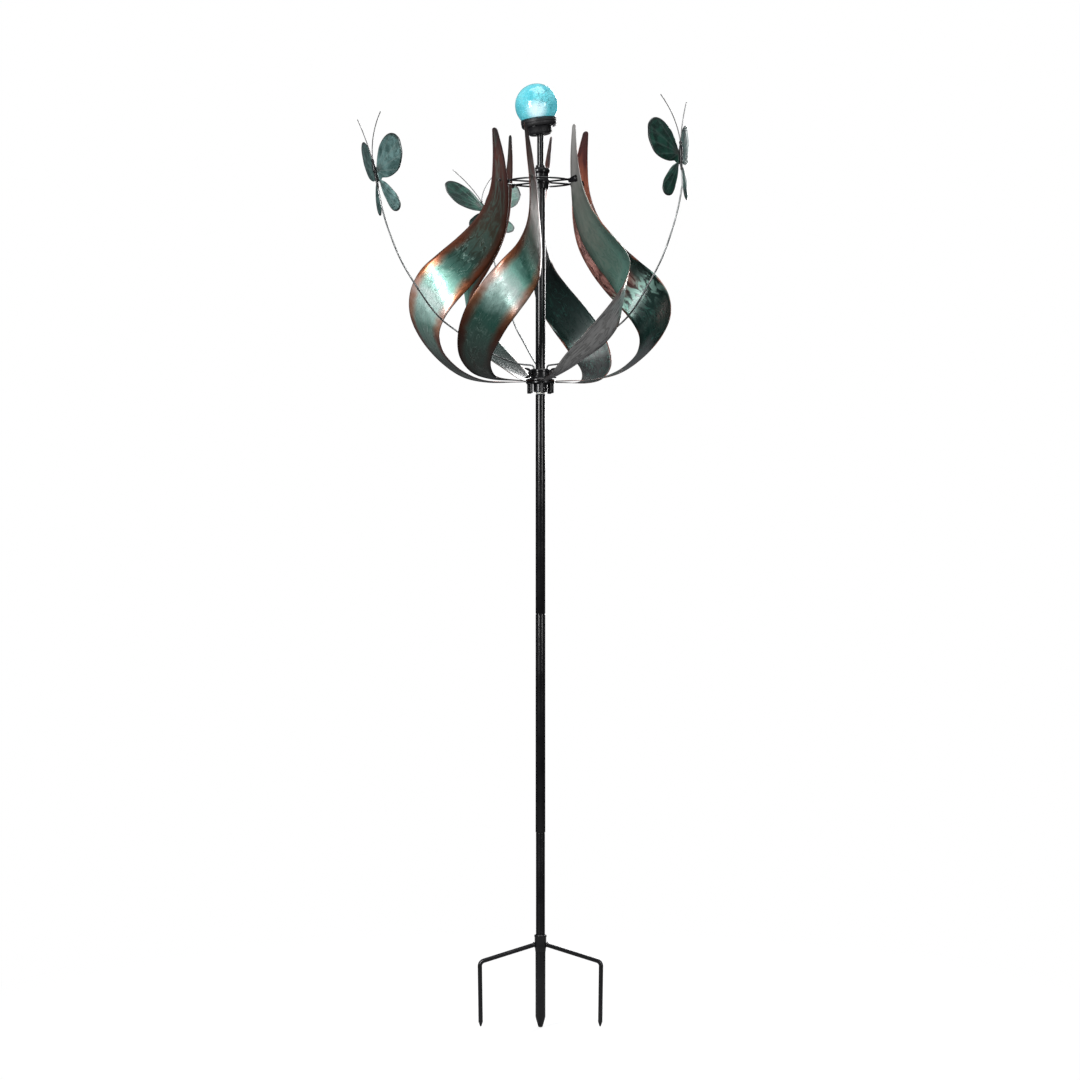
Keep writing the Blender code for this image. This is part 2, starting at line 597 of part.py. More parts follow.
def make_root_bolts():
    """Long hexagon heads under the lower hub, threaded into the stem hub."""
    head_top = LOWER_HUB_TOP - HUB_FLANGE_THICKNESS - GAP
    shank_top = STEM_HUB_SHOULDER - 2 * GAP
    bolts = []
    for index in range(PETAL_COUNT):
        place = polar(ROOT_BOLT_CIRCLE, petal_azimuth(index) + ROOT_AZIMUTH, 0)
        bolt = turned("root_bolt_%d" % (index + 1), (
            (0, shank_top), (ROOT_BOLT_RADIUS, shank_top), (ROOT_BOLT_RADIUS, head_top),
            (ROOT_BOLT_HEAD_RADIUS, head_top),
            (ROOT_BOLT_HEAD_RADIUS, head_top - ROOT_BOLT_HEAD_LENGTH + 0.002),
            (ROOT_BOLT_HEAD_RADIUS - 0.0015, head_top - ROOT_BOLT_HEAD_LENGTH),
            (0, head_top - ROOT_BOLT_HEAD_LENGTH)), BLACK_PAINT, sides=6)
        bolt.location = place
        bolts.append(bolt)
    return bolts


def make_neck_ring(neck_holes):
    """Hoop, spokes, collar and six tabs, welded into one piece."""
    collar_inner = UPPER_HUB_RADIUS + GAP
    collar_outer = collar_inner + NECK_COLLAR_WALL
    ring = sleeve("neck_ring", collar_outer, collar_inner,
                  NECK_RING_HEIGHT - NECK_COLLAR_HEIGHT / 2,
                  NECK_RING_HEIGHT + NECK_COLLAR_HEIGHT / 2, BLACK_PAINT)
    hoop_points = [polar(NECK_RING_RADIUS, step * 360 / 36, NECK_RING_HEIGHT)
                   for step in range(36)]
    hoop = wire("hoop", hoop_points, NECK_WIRE_RADIUS, None)
    hoop.data.splines[0].use_cyclic_u = True
    hoop = as_mesh(hoop, None)
    centre, across, normal, along = neck_frame()
    offset = PETAL_THICKNESS / 2 + TAB_STAND_OFF + TAB_THICKNESS / 2
    tools = [hoop]
    for index in range(PETAL_COUNT):
        turn = Matrix.Rotation(math.radians(petal_azimuth(index)), 4, "Z")
        middle = centre + offset * normal
        reach_in = weld_distance(middle, across)
        bm = bmesh.new()
        length = TAB_REACH + reach_in
        frame = Matrix((across, normal, along)).transposed().to_4x4()
        place = turn @ Matrix.Translation(
            middle + across * (reach_in - TAB_REACH) / 2) @ frame
        bmesh.ops.create_cube(bm, size=1.0, matrix=place @ Matrix.Diagonal(
            (length, TAB_THICKNESS, TAB_HEIGHT, 1.0)))
        tools.append(mesh_object("tab_%d" % (index + 1), bm, collection=CUTTERS))
        bm = bmesh.new()
        weld = turn @ (middle + across * reach_in)
        out = Vector((weld.x, weld.y, 0)).normalized()
        start = out * (collar_inner + NECK_COLLAR_WALL / 2)
        start.z = NECK_RING_HEIGHT
        end = out * NECK_RING_RADIUS
        end.z = NECK_RING_HEIGHT
        add_cylinder(bm, NECK_WIRE_RADIUS, start, end, sides=8)
        tools.append(mesh_object("spoke_%d" % (index + 1), bm, collection=CUTTERS))
    for tool in tools:
        if tool is hoop:
            PARTS.objects.unlink(tool)
            CUTTERS.objects.link(tool)
        tool.hide_render = True
        tool.display_type = "WIRE"
        boolean(ring, tool, "UNION")
    boolean(ring, neck_holes)
    return ring


def weld_distance(middle, across):
    """How far the tab runs from its rivet to the middle of the hoop's wire."""
    distance = 0.0
    while (middle + across * distance).xy.length > NECK_RING_RADIUS:
        distance += 0.0002
    return distance


def make_rivets():
    centre, _, normal, _ = neck_frame()
    face = PETAL_THICKNESS / 2 + GAP
    tab_face = PETAL_THICKNESS / 2 + TAB_STAND_OFF + TAB_THICKNESS + GAP
    rivets = []
    for index in range(PETAL_COUNT):
        rivet = turned("neck_rivet_%d" % (index + 1), (
            (0, tab_face + RIVET_HEAD_HEIGHT),
            (RIVET_HEAD_RADIUS * 0.6, tab_face + RIVET_HEAD_HEIGHT * 0.8),
            (RIVET_HEAD_RADIUS, tab_face), (RIVET_RADIUS, tab_face),
            (RIVET_RADIUS, -face - GAP), (RIVET_HEAD_RADIUS, -face - GAP),
            (RIVET_HEAD_RADIUS * 0.6, -face - RIVET_HEAD_HEIGHT * 0.8),
            (0, -face - RIVET_HEAD_HEIGHT)), BARE_STEEL, sides=8)
        turn = Matrix.Rotation(math.radians(petal_azimuth(index)), 4, "Z")
        rivet.matrix_world = (turn @ Matrix.Translation(centre)
                              @ normal.to_track_quat("Z", "Y").to_matrix().to_4x4())
        rivets.append(rivet)
    return rivets


# --- butterflies ----------------------------------------------------------------------
def stem_points(index):
    """Up out of the socket, round a bend, then out and up to the butterfly."""
    socket = polar(SOCKET_CIRCLE, SOCKET_AZIMUTHS[index], 0)
    azimuth = STEM_AZIMUTHS[index]
    sway = STEM_SWAYS[index]
    furthest = STEM_ROUTE[-1][0]

    def at(distance, height):
        drift = sway * (distance / furthest) ** 1.5
        return socket + polar(distance, azimuth + drift, height)

    bottom = at(0, SOCKET_BOTTOM + GAP)
    bend_start = STEM_HUB_TOP + 0.001
    bend = [at(STEM_BEND_RADIUS * (1 - math.cos(angle)),
               bend_start + STEM_BEND_RADIUS * math.sin(angle))
            for angle in (math.radians(step * 15) for step in range(6))]
    route = [bend[-1]] + [at(distance, ROOT_HEIGHT + height)
                          for distance, height in STEM_ROUTE]
    steps = 14
    long_run = [smooth_curve(route, step / steps) for step in range(1, steps + 1)]
    top = long_run[-1] + body_direction(index, long_run[-1]) * STEM_TOP_LENGTHS[index]
    return [bottom] + bend + long_run + [top]


def body_direction(index, place):
    """The way up the butterfly's body, which leans out from the pole."""
    lean = math.radians(BUTTERFLY_LEANS[index])
    out = Vector((place.x, place.y, 0)).normalized()
    return math.sin(lean) * out + math.cos(lean) * Vector((0, 0, 1))


def butterfly_frame(index):
    """Origin at the middle of the body; X across, Y out from the pole, Z up it."""
    end = stem_points(index)[-1]
    up = body_direction(index, end)
    across = Vector((end.x, end.y, 0)).cross(up).normalized()
    out = up.cross(across)
    middle = end + up * (BODY_LENGTH / 2 - BODY_SOCKET + GAP)
    axes = Matrix((across, out, up)).transposed().to_4x4()
    turn = Matrix.Rotation(math.radians(BUTTERFLY_TURNS[index]), 4, "Z")
    return Matrix.Translation(middle) @ axes @ turn


def make_body(name, frame):
    half = BODY_LENGTH / 2
    body = turned(name, (
        (0, half), (BODY_RADIUS * 0.75, half - 0.001), (BODY_RADIUS, half - 0.004),
        (BODY_RADIUS * 0.8, half - 0.009), (BODY_RADIUS * BODY_SWELL, half - 0.014),
        (BODY_RADIUS * BODY_SWELL, half - 0.028), (BODY_RADIUS * 0.85, half - 0.033),
        (BODY_RADIUS, half - 0.040), (BODY_RADIUS * 0.85, -half),
        (STEM_RADIUS + GAP, -half), (STEM_RADIUS + GAP, -half + BODY_SOCKET),
        (0, -half + BODY_SOCKET)), BLACK_PAINT, sides=FINE_SIDES)
    body.matrix_world = frame
    return body


def make_wings(name, frame):
    """Both sides' wings, folded along the body's line, from one pressed sheet."""
    bm = bmesh.new()
    fold = Matrix.Rotation(math.radians(-WING_DIHEDRAL), 4, "Z")
    crease = Vector((WING_CREASE, 0, 0))

    def folded(spot, lift=0.0):
        across, height = spot
        return bm.verts.new(crease + fold @ (Vector((across, lift, height)) - crease))

    strip = [[bm.verts.new((across, 0, height)) for height in WING_ROOT_HEIGHTS]
             for across in (0, WING_CREASE)]
    for step in range(2):
        bm.faces.new((strip[0][step], strip[0][step + 1], strip[1][step + 1],
                      strip[1][step]))
    notch = folded(WING_NOTCH)
    upper = [strip[1][1], strip[1][0]] + [folded(spot) for spot in UPPER_WING] + [notch]
    lower = ([strip[1][2], strip[1][1], notch] + [folded(spot) for spot in LOWER_WING])
    for loop, middle in ((upper, UPPER_WING_MIDDLE), (lower, LOWER_WING_MIDDLE)):
        centre = folded(middle, WING_CUP)
        for first, second in zip(loop, loop[1:] + loop[:1]):
            bm.faces.new((centre, first, second))
    bmesh.ops.recalc_face_normals(bm, faces=bm.faces)
    wings = mesh_object(name, bm, PATINA_TEAL)
    mirror = wings.modifiers.new("other_side", "MIRROR")
    mirror.use_axis[0] = True
    mirror.merge_threshold = MERGE
    sheet = wings.modifiers.new("sheet", "SOLIDIFY")
    sheet.thickness = WING_THICKNESS
    sheet.offset = 0
    behind = -(BODY_RADIUS * BODY_SWELL + GAP + WING_THICKNESS)
    wings.matrix_world = frame @ Matrix.Translation((0, behind, 0))
    return wings


def make_antennae(name, frame):
    """One thin wire bent into a V over the butterfly's head."""
    top = BODY_LENGTH / 2 + ANTENNA_RADIUS + GAP
    half = []
    for step in range(9):
        t = step / 8
        half.append(Vector((ANTENNA_SPREAD * (0.45 * t + 0.55 * t * t) + 0.001 * (1 - t),
                            -0.012 * t * t, top + ANTENNA_RISE * t * (1 - 0.10 * t))))
    points = [Vector((-p.x, p.y, p.z)) for p in reversed(half)] + half
    antennae = wire(name, points, ANTENNA_RADIUS, BARE_STEEL, resolution=1)
    antennae.matrix_world = frame
    return antennae


def make_wing_screw(name, azimuth):
    """A thumb screw with two flat wings, pointing at the stem in its socket."""
    tip = SOCKET_CIRCLE + STEM_RADIUS + 0.0004
    head = STEM_HUB_RADIUS + 2 * GAP
    hub_end = head + WING_SCREW_HUB_LENGTH
    screw = turned(name, (
        (0, hub_end), (WING_SCREW_HUB_RADIUS * 0.8, hub_end),
        (WING_SCREW_HUB_RADIUS, hub_end - 0.002), (WING_SCREW_HUB_RADIUS, head),
        (WING_SCREW_RADIUS, head), (WING_SCREW_RADIUS, tip), (0, tip)), BLACK_PAINT,
        sides=FINE_SIDES)
    bm = bmesh.new()
    spread, reach = WING_SCREW_SPREAD, WING_SCREW_REACH
    outline = ((0, 0.002), (0.004, 0.001), (spread * 0.8, 0.002), (spread, 0.006),
               (spread, reach - 0.004), (spread * 0.8, reach), (0.006, reach * 0.7),
               (0, 0.0055))
    right = [(x, z) for x, z in outline]
    left = [(-x, z) for x, z in reversed(outline[1:-1])]
    verts = [bm.verts.new((x, -WING_SCREW_PLATE / 2, head + z)) for x, z in right + left]
    face = bm.faces.new(verts)
    push = bmesh.ops.extrude_face_region(bm, geom=[face])
    moved = [item for item in push["geom"] if isinstance(item, bmesh.types.BMVert)]
    bmesh.ops.translate(bm, verts=moved, vec=(0, WING_SCREW_PLATE, 0))
    bmesh.ops.recalc_face_normals(bm, faces=bm.faces)
    wings = cutter(name + "_wings", bm)
    boolean(screw, wings, "UNION")
    out = polar(1, azimuth, 0)
    tangent = Vector((0, 0, 1)).cross(out)
    frame = Matrix((Vector((0, 0, 1)), tangent, out)).transposed().to_4x4()
    frame = Matrix.Translation((0, 0, BOB_PIVOT_HEIGHT)) @ frame
    screw.matrix_world = frame
    wings.matrix_world = frame
    return screw


def make_butterfly(index):
    name = "butterfly_" + BUTTERFLY_NAMES[index]
    frame = butterfly_frame(index)
    pivot = bpy.data.objects.new(name + "_pivot", None)
    pivot.location = polar(SOCKET_CIRCLE, SOCKET_AZIMUTHS[index], BOB_PIVOT_HEIGHT)
    PARTS.objects.link(pivot)
    pieces = [wire(name + "_stem", stem_points(index), STEM_RADIUS, BARE_STEEL),
              make_body(name + "_body", frame),
              make_wings(name + "_wings", frame),
              make_antennae(name + "_antennae", frame)]
    bpy.context.view_layer.update()
    for piece in pieces:
        keep = piece.matrix_world.copy()
        piece.parent = pivot
        piece.matrix_world = keep
    return pivot


# --- lamp -------------------------------------------------------------------------------
def make_lamp():
    floor = BOSS_HEIGHT + BASE_FLOOR
    rim = BOSS_HEIGHT + BASE_HEIGHT
    base = turned("lamp_base", (
        (0, floor), (BASE_RADIUS - BASE_WALL, floor), (BASE_RADIUS - BASE_WALL, rim),
        (BASE_RADIUS - 0.001, rim), (BASE_RADIUS, rim - 0.001),
        (BASE_RADIUS, BOSS_HEIGHT + 0.002), (BASE_RADIUS - 0.002, BOSS_HEIGHT),
        (BOSS_RADIUS, BOSS_HEIGHT), (BOSS_RADIUS, 0.002), (BOSS_RADIUS - 0.002, 0),
        (SPINDLE_RADIUS + LAMP_BORE_CLEARANCE, 0),
        (SPINDLE_RADIUS + LAMP_BORE_CLEARANCE, SPINDLE_IN_LAMP),
        (0, SPINDLE_IN_LAMP)), BLACK_PLASTIC)
    bm = bmesh.new()
    window = Matrix.Rotation(math.radians(SWITCH_AZIMUTH), 4, "Z") @ Matrix.Translation(
        (SWITCH_CIRCLE, 0, BOSS_HEIGHT + BASE_FLOOR / 2))
    bmesh.ops.create_cube(bm, size=1.0, matrix=window @ Matrix.Diagonal(
        (SWITCH_WIDTH + 2 * GAP, SWITCH_LENGTH + SWITCH_TRAVEL + 2 * GAP,
         3 * BASE_FLOOR, 1.0)))
    window_cutter = cutter("switch_window", bm)
    boolean(base, window_cutter)

    bm = bmesh.new()
    slider = window @ Matrix.Translation((0, -SWITCH_TRAVEL / 2, 0))
    low = -BASE_FLOOR / 2 - SWITCH_STICK_OUT
    high = BASE_FLOOR / 2 + 0.0008
    bmesh.ops.create_cube(bm, size=1.0, matrix=slider @ Matrix.Translation(
        (0, 0, (low + high) / 2)) @ Matrix.Diagonal(
        (SWITCH_WIDTH, SWITCH_LENGTH, high - low, 1.0)))
    switch = mesh_object("lamp_switch", bm, BLACK_PLASTIC)

    panel_radius = BASE_RADIUS - BASE_WALL - GAP
    panel_bottom = rim - PANEL_THICKNESS
    panel = turned("solar_panel", (
        (0, rim), (panel_radius, rim), (panel_radius, panel_bottom), (0, panel_bottom)),
        SOLAR_BLUE)
    globe_seat = rim + 2 * GAP
    drop = math.sqrt(GLOBE_RADIUS ** 2 - GLOBE_MOUTH_RADIUS ** 2)
    globe = make_globe(globe_seat + drop)
    ring_inner = GLOBE_MOUTH_RADIUS + RING_SEAT
    ring = sleeve("globe_ring", ring_inner + RING_WALL, ring_inner, rim + GAP,
                  rim + GAP + RING_HEIGHT, BLACK_PLASTIC)
    battery = turned("battery", (
        (0, BATTERY_LENGTH / 2 + 0.001), (0.0019, BATTERY_LENGTH / 2 + 0.001),
        (0.0019, BATTERY_LENGTH / 2), (BATTERY_RADIUS, BATTERY_LENGTH / 2),
        (BATTERY_RADIUS, -BATTERY_LENGTH / 2), (0, -BATTERY_LENGTH / 2)),
        BATTERY_GREY, sides=FINE_SIDES)
    battery.matrix_world = (Matrix.Translation((0, 0.012, floor + GAP + BATTERY_RADIUS))
                            @ Matrix.Rotation(math.radians(90), 4, "Y"))
    bm = bmesh.new()
    bmesh.ops.create_cube(bm, size=1.0, matrix=Matrix.Translation(
        (0, -0.012, floor + 0.004)) @ Matrix.Diagonal(
        (BOARD_LENGTH, BOARD_WIDTH, BOARD_THICKNESS, 1.0)))
    board = mesh_object("lamp_board", bm, BOARD_GREEN)
    place = (Matrix.Translation((0, 0, LAMP_FOOT))
             @ Matrix.Rotation(math.radians(-LAMP_TILT), 4, "Y"))
    for piece in (base, window_cutter, switch, panel, globe, ring, battery, board):
        piece.matrix_world = place @ piece.matrix_world


def make_globe(centre_height):
    """An open glass globe: a turned arc from its top down to its mouth."""
    mouth = math.asin(GLOBE_MOUTH_RADIUS / GLOBE_RADIUS)
    steps = 10
    bm = bmesh.new()
    verts = []
    for step in range(steps + 1):
        angle = (math.pi - mouth) * step / steps
        verts.append(bm.verts.new((GLOBE_RADIUS * math.sin(angle), 0,
                                   centre_height + GLOBE_RADIUS * math.cos(angle))))
    for first, second in zip(verts, verts[1:]):
        bm.edges.new((first, second))
    globe = mesh_object("lamp_globe", bm, CRACKLE_GLASS)
    screw = globe.modifiers.new("turn", "SCREW")
    screw.steps = ROUND_SIDES
    screw.render_steps = ROUND_SIDES
    screw.use_merge_vertices = True
    screw.merge_threshold = MERGE
    glass = globe.modifiers.new("glass", "SOLIDIFY")
    glass.thickness = GLOBE_WALL
    glass.offset = -1
    return globe


# --- assembly ----------------------------------------------------------------------------
def make_rotor():
    root_holes = root_drill()
    neck_holes = neck_drill()
    pieces = make_rotor_tube() + make_hubs(root_holes) + make_root_bolts()
    pieces += [make_neck_ring(neck_holes)] + make_rivets()
    pieces += [make_wing_screw("wing_screw_" + name, azimuth)
               for name, azimuth in zip(BUTTERFLY_NAMES, SOCKET_AZIMUTHS)]
    pieces += [make_butterfly(index) for index in range(len(BUTTERFLY_NAMES))]
    for piece in pieces:
        piece.parent = ROTOR_AXIS
    for index in range(PETAL_COUNT):
        make_petal(index, (root_holes, neck_holes))


ROTOR_AXIS = bpy.data.objects.new("rotor_axis", None)
PARTS.objects.link(ROTOR_AXIS)
make_stake()
make_pole()
make_spindle()
make_rotor()
make_lamp()
bpy.context.view_layer.update()
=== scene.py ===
"""The looks of the kinetic wind sculpture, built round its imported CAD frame.

Metres, +Z up, in the CAD's own frame.  Azimuths are in degrees, counted from +X
towards +Y, and the front of the sculpture is -Y.
"""

import math

import bmesh
import bpy
import numpy as np
from mathutils import Matrix, Vector


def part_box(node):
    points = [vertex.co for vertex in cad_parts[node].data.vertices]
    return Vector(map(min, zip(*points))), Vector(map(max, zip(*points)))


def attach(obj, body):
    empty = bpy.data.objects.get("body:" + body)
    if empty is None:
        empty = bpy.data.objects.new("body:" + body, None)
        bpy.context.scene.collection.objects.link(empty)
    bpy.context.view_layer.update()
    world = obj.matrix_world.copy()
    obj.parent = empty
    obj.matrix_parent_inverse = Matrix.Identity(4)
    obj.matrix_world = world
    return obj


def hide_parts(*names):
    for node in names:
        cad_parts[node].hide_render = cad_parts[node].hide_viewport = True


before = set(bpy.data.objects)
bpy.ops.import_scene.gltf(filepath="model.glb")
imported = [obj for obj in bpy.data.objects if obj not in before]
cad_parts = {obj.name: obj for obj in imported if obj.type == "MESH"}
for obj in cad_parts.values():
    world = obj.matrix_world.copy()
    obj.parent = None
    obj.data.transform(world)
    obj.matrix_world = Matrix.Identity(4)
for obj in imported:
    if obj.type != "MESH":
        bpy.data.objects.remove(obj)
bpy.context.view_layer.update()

# --- sizes that the fine meshes share with the CAD ---
GAP = 0.0003
PETAL_COUNT = 6
PETAL_FIRST_AZIMUTH = 180.0
PETAL_SKEWS = (0.0, -3.0, 0.0, 0.0, 2.0, -4.0)
PETAL_THICKNESS = 0.001
PETAL_OUTER_EDGE = (
    (0.112, 14.0, 0.570), (0.112, 17.0, 0.502), (0.119, 21.0, 0.440),
    (0.138, 23.0, 0.390), (0.167, 23.5, 0.350), (0.202, 22.5, 0.315),
    (0.242, 20.0, 0.280), (0.277, 15.0, 0.244), (0.295, 8.0, 0.199),
    (0.294, 0.0, 0.148), (0.273, -8.0, 0.096), (0.237, -16.0, 0.048),
    (0.190, -21.0, 0.014), (0.133, -24.5, 0.001), (0.066, -29.0, 0.0),
    (0.0215, -43.0, 0.0))
PETAL_INNER_EDGE = (
    (0.101, 15.0, 0.569), (0.087, 21.0, 0.502), (0.082, 27.0, 0.434),
    (0.086, 31.0, 0.369), (0.104, 34.0, 0.310), (0.138, 34.0, 0.257),
    (0.176, 32.0, 0.212), (0.207, 27.0, 0.174), (0.228, 21.0, 0.137),
    (0.234, 15.0, 0.103), (0.222, 8.0, 0.068), (0.198, 0.0, 0.041),
    (0.168, -7.0, 0.019), (0.128, -14.0, 0.004), (0.066, -12.5, 0.0),
    (0.0215, 1.0, 0.0))
ROOT_AZIMUTH = -21.0
ROOT_BOLT_CIRCLE = 0.027
BUTTERFLY_NAMES = ("left", "right", "back")
SOCKET_AZIMUTHS = (210.0, 330.0, 90.0)
STEM_AZIMUTHS = (205.0, 321.0, 98.0)
STEM_SWAYS = (0.0, 0.0, 12.0)
SOCKET_CIRCLE = 0.017
SOCKET_DEPTH = 0.020
STEM_RADIUS = 0.0019
STEM_BEND_RADIUS = 0.007
STEM_ROUTE = (
    (0.047, 0.040), (0.110, 0.062), (0.190, 0.107), (0.240, 0.144),
    (0.291, 0.209), (0.325, 0.262), (0.350, 0.318), (0.366, 0.365),
    (0.376, 0.410))
STEM_TOP_LENGTHS = (0.010, 0.038, 0.010)
BUTTERFLY_LEANS = (12.0, -3.0, 40.0)
BUTTERFLY_TURNS = (5.0, 6.0, 0.0)
BODY_LENGTH = 0.063
BODY_RADIUS = 0.0034
BODY_SOCKET = 0.006
WING_THICKNESS = 0.0008
WING_DIHEDRAL = 13.0
WING_CREASE = 0.003
UPPER_WING = (
    (0.003, 0.014), (0.007, 0.024), (0.014, 0.039), (0.026, 0.057), (0.045, 0.071),
    (0.065, 0.077), (0.083, 0.073), (0.094, 0.061), (0.097, 0.044), (0.095, 0.028),
    (0.087, 0.011), (0.074, -0.003), (0.055, -0.011), (0.034, -0.014), (0.017, -0.012),
    (0.010, -0.015), (0.003, -0.005))
LOWER_WING = (
    (0.003, -0.005), (0.010, -0.016), (0.024, -0.024), (0.039, -0.039), (0.052, -0.055),
    (0.058, -0.071), (0.055, -0.084), (0.043, -0.090), (0.029, -0.086), (0.019, -0.072),
    (0.013, -0.052), (0.0075, -0.032), (0.003, -0.020))
UPPER_WING_ROOT = (0.003, 0.005)
LOWER_WING_ROOT = (0.004, -0.014)
ANTENNA_RADIUS = 0.0008
ANTENNA_RISE = 0.104
ANTENNA_SPREAD = 0.056
NECK_RING_RADIUS = 0.076
NECK_WIRE_RADIUS = 0.002
TAB_HEIGHT = 0.016
TAB_REACH = 0.0065
TAB_THICKNESS = 0.0015
TAB_STAND_OFF = 0.0009
LAMP_TILT = 7.0
PRONG_REACH = 0.137
PRONG_DROP = 0.040
PRONG_ARM_HEIGHT = 0.011
PRONG_BEND_RADIUS = 0.014
PRONG_RADIUS = 0.005


def low(node):
    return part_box(node)[0]


def high(node):
    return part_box(node)[1]


def heights(node):
    return low(node).z, high(node).z


def radius_of(node):
    return (high(node).x - low(node).x) / 2


ROOT_HEIGHT = high("lower_hub").z + GAP + PETAL_THICKNESS / 2
NECK_RING_HEIGHT = ROOT_HEIGHT + 0.4505
STEM_HUB_TOP = high("stem_hub").z
LAMP_FOOT = ROOT_HEIGHT + 0.5575

# --- camera, floor and lights ---
CAMERA_PLACE = (-0.001, -5.763, 1.1006)
CAMERA_LENS = 85
CAMERA_SENSOR = 36
FLOOR_RADIUS = 1.5
FLOOR_DROP = 0.001                          # below the stake's points
FLOOR_FADE = (0.2, FLOOR_RADIUS - 0.05)     # where its grey starts and ends
LIGHT_TARGET = Vector((0, 0, 1.62))
LIGHTS = (      # name, place, width, height and power
    ("key", (-2.6, -3.4, 2.1), 1.0, 2.6, 185),
    ("fill", (2.9, -3.2, 1.7), 0.8, 2.4, 60),
    ("top", (0.2, -0.4, 4.6), 2.2, 2.2, 70),
    ("back", (1.2, 3.6, 2.5), 1.6, 2.4, 150))


def add_object(name, data):
    obj = bpy.data.objects.new(name, data)
    bpy.context.scene.collection.objects.link(obj)
    return obj


def make_camera():
    scene = bpy.context.scene
    camera = add_object("camera", bpy.data.cameras.new("camera"))
    camera.location = CAMERA_PLACE
    camera.rotation_euler = (math.radians(90), 0, 0)
    camera.data.lens = CAMERA_LENS
    camera.data.sensor_width = CAMERA_SENSOR
    scene.camera = camera
    scene.view_settings.view_transform = "Standard"


def make_floor():
    """A disc that the camera sees white at its rim, with a soft grey middle."""
    bm = bmesh.new()
    bmesh.ops.create_circle(bm, cap_ends=True, segments=96, radius=FLOOR_RADIUS)
    mesh = bpy.data.meshes.new("floor")
    bm.to_mesh(mesh)
    bm.free()
    floor = add_object("floor", mesh)
    floor.location.z = -FLOOR_DROP
    paint = Paint("pale_floor", Roughness=0.9, Specular_IOR_Level=0.0)
    distance = paint.node("ShaderNodeVectorMath", {0: paint.place()}, operation="LENGTH")
    fade = paint.remap(distance.outputs["Value"], *FLOOR_FADE)
    paint.link(paint.mix(fade, (0.30, 0.30, 0.30), (0.0, 0.0, 0.0)), "Base Color")
    paint.link(paint.mix(fade, (0.72, 0.72, 0.72), (1.0, 1.0, 1.0)), "Emission Color")
    seen = paint.node("ShaderNodeLightPath").outputs["Is Camera Ray"]
    paint.link(seen, "Emission Strength")
    mesh.materials.append(paint.material)


def make_world():
    """White to the camera and through the glass, dim grey for everything else."""
    world = bpy.data.worlds.new("studio")
    bpy.context.scene.world = world
    world.use_nodes = True
    graph = Graph(world.node_tree)
    direction = graph.node("ShaderNodeTexCoord").outputs["Generated"]
    height = graph.node("ShaderNodeSeparateXYZ", {0: direction}).outputs["Z"]
    dim = graph.ramp(height, ((0.0, (0.05, 0.05, 0.055)), (0.8, (0.32, 0.33, 0.35))))
    rays = graph.node("ShaderNodeLightPath").outputs
    seen = graph.math("MAXIMUM", rays["Is Camera Ray"], rays["Is Transmission Ray"])
    light = graph.mix(seen, dim, (1.0, 1.0, 1.0))
    graph.tree.links.new(light, graph.tree.nodes["Background"].inputs["Color"])


def make_lights():
    for name, place, width, height, power in LIGHTS:
        light = bpy.data.lights.new(name, "AREA")
        light.shape = "RECTANGLE"
        light.size = width
        light.size_y = height
        light.energy = power
        lamp = add_object(name, light)
        lamp.location = place
        aim = LIGHT_TARGET - lamp.location
        lamp.rotation_euler = aim.to_track_quat("-Z", "Y").to_euler()
        lamp.visible_camera = False


# --- node graphs ---
class Graph:
    """A node graph that is built by short calls."""

    def __init__(self, tree):
        self.tree = tree

    def node(self, kind, inputs=None, **settings):
        made = self.tree.nodes.new(kind)
        for key, value in settings.items():
            setattr(made, key, value)
        for key, value in (inputs or {}).items():
            socket = made.inputs[key]
            if isinstance(value, bpy.types.NodeSocket):
                self.tree.links.new(value, socket)
            elif isinstance(value, tuple) and len(value) < len(socket.default_value):
                socket.default_value = (*value, 1.0)
            else:
                socket.default_value = value
        return made

    def math(self, operation, first, second=0.0):
        return self.node("ShaderNodeMath", {0: first, 1: second},
                         operation=operation).outputs[0]

    def times(self, first, second):
        return self.math("MULTIPLY", first, second)

    def plus(self, first, second):
        return self.math("ADD", first, second)

    def shift(self, value, cloud, amount):
        """The value, moved to and fro by a noise."""
        return self.plus(value, self.times(self.math("SUBTRACT", cloud, 0.5), amount))

    def remap(self, value, start, end, low_value=0.0, high_value=1.0):
        return self.node("ShaderNodeMapRange", {
            "Value": value, "From Min": start, "From Max": end, "To Min": low_value,
            "To Max": high_value}, interpolation_type="SMOOTHSTEP").outputs["Result"]

    def mix(self, factor, first, second):
        return self.node("ShaderNodeMix", {0: factor, 6: first, 7: second},
                         data_type="RGBA").outputs[2]

    def over(self, color, tint, *masks):
        """The tint laid over the color by the product of the masks."""
        cover = masks[0]
        for mask in masks[1:]:
            cover = self.times(cover, mask)
        return self.mix(cover, color, tint)

    def ramp(self, value, stops):
        made = self.node("ShaderNodeValToRGB", {0: value})
        elements = made.color_ramp.elements
        while len(elements) < len(stops):
            elements.new(1.0)
        for element, (position, color) in zip(elements, stops):
            element.position = position
            element.color = (*color, 1.0)
        return made.outputs[0]


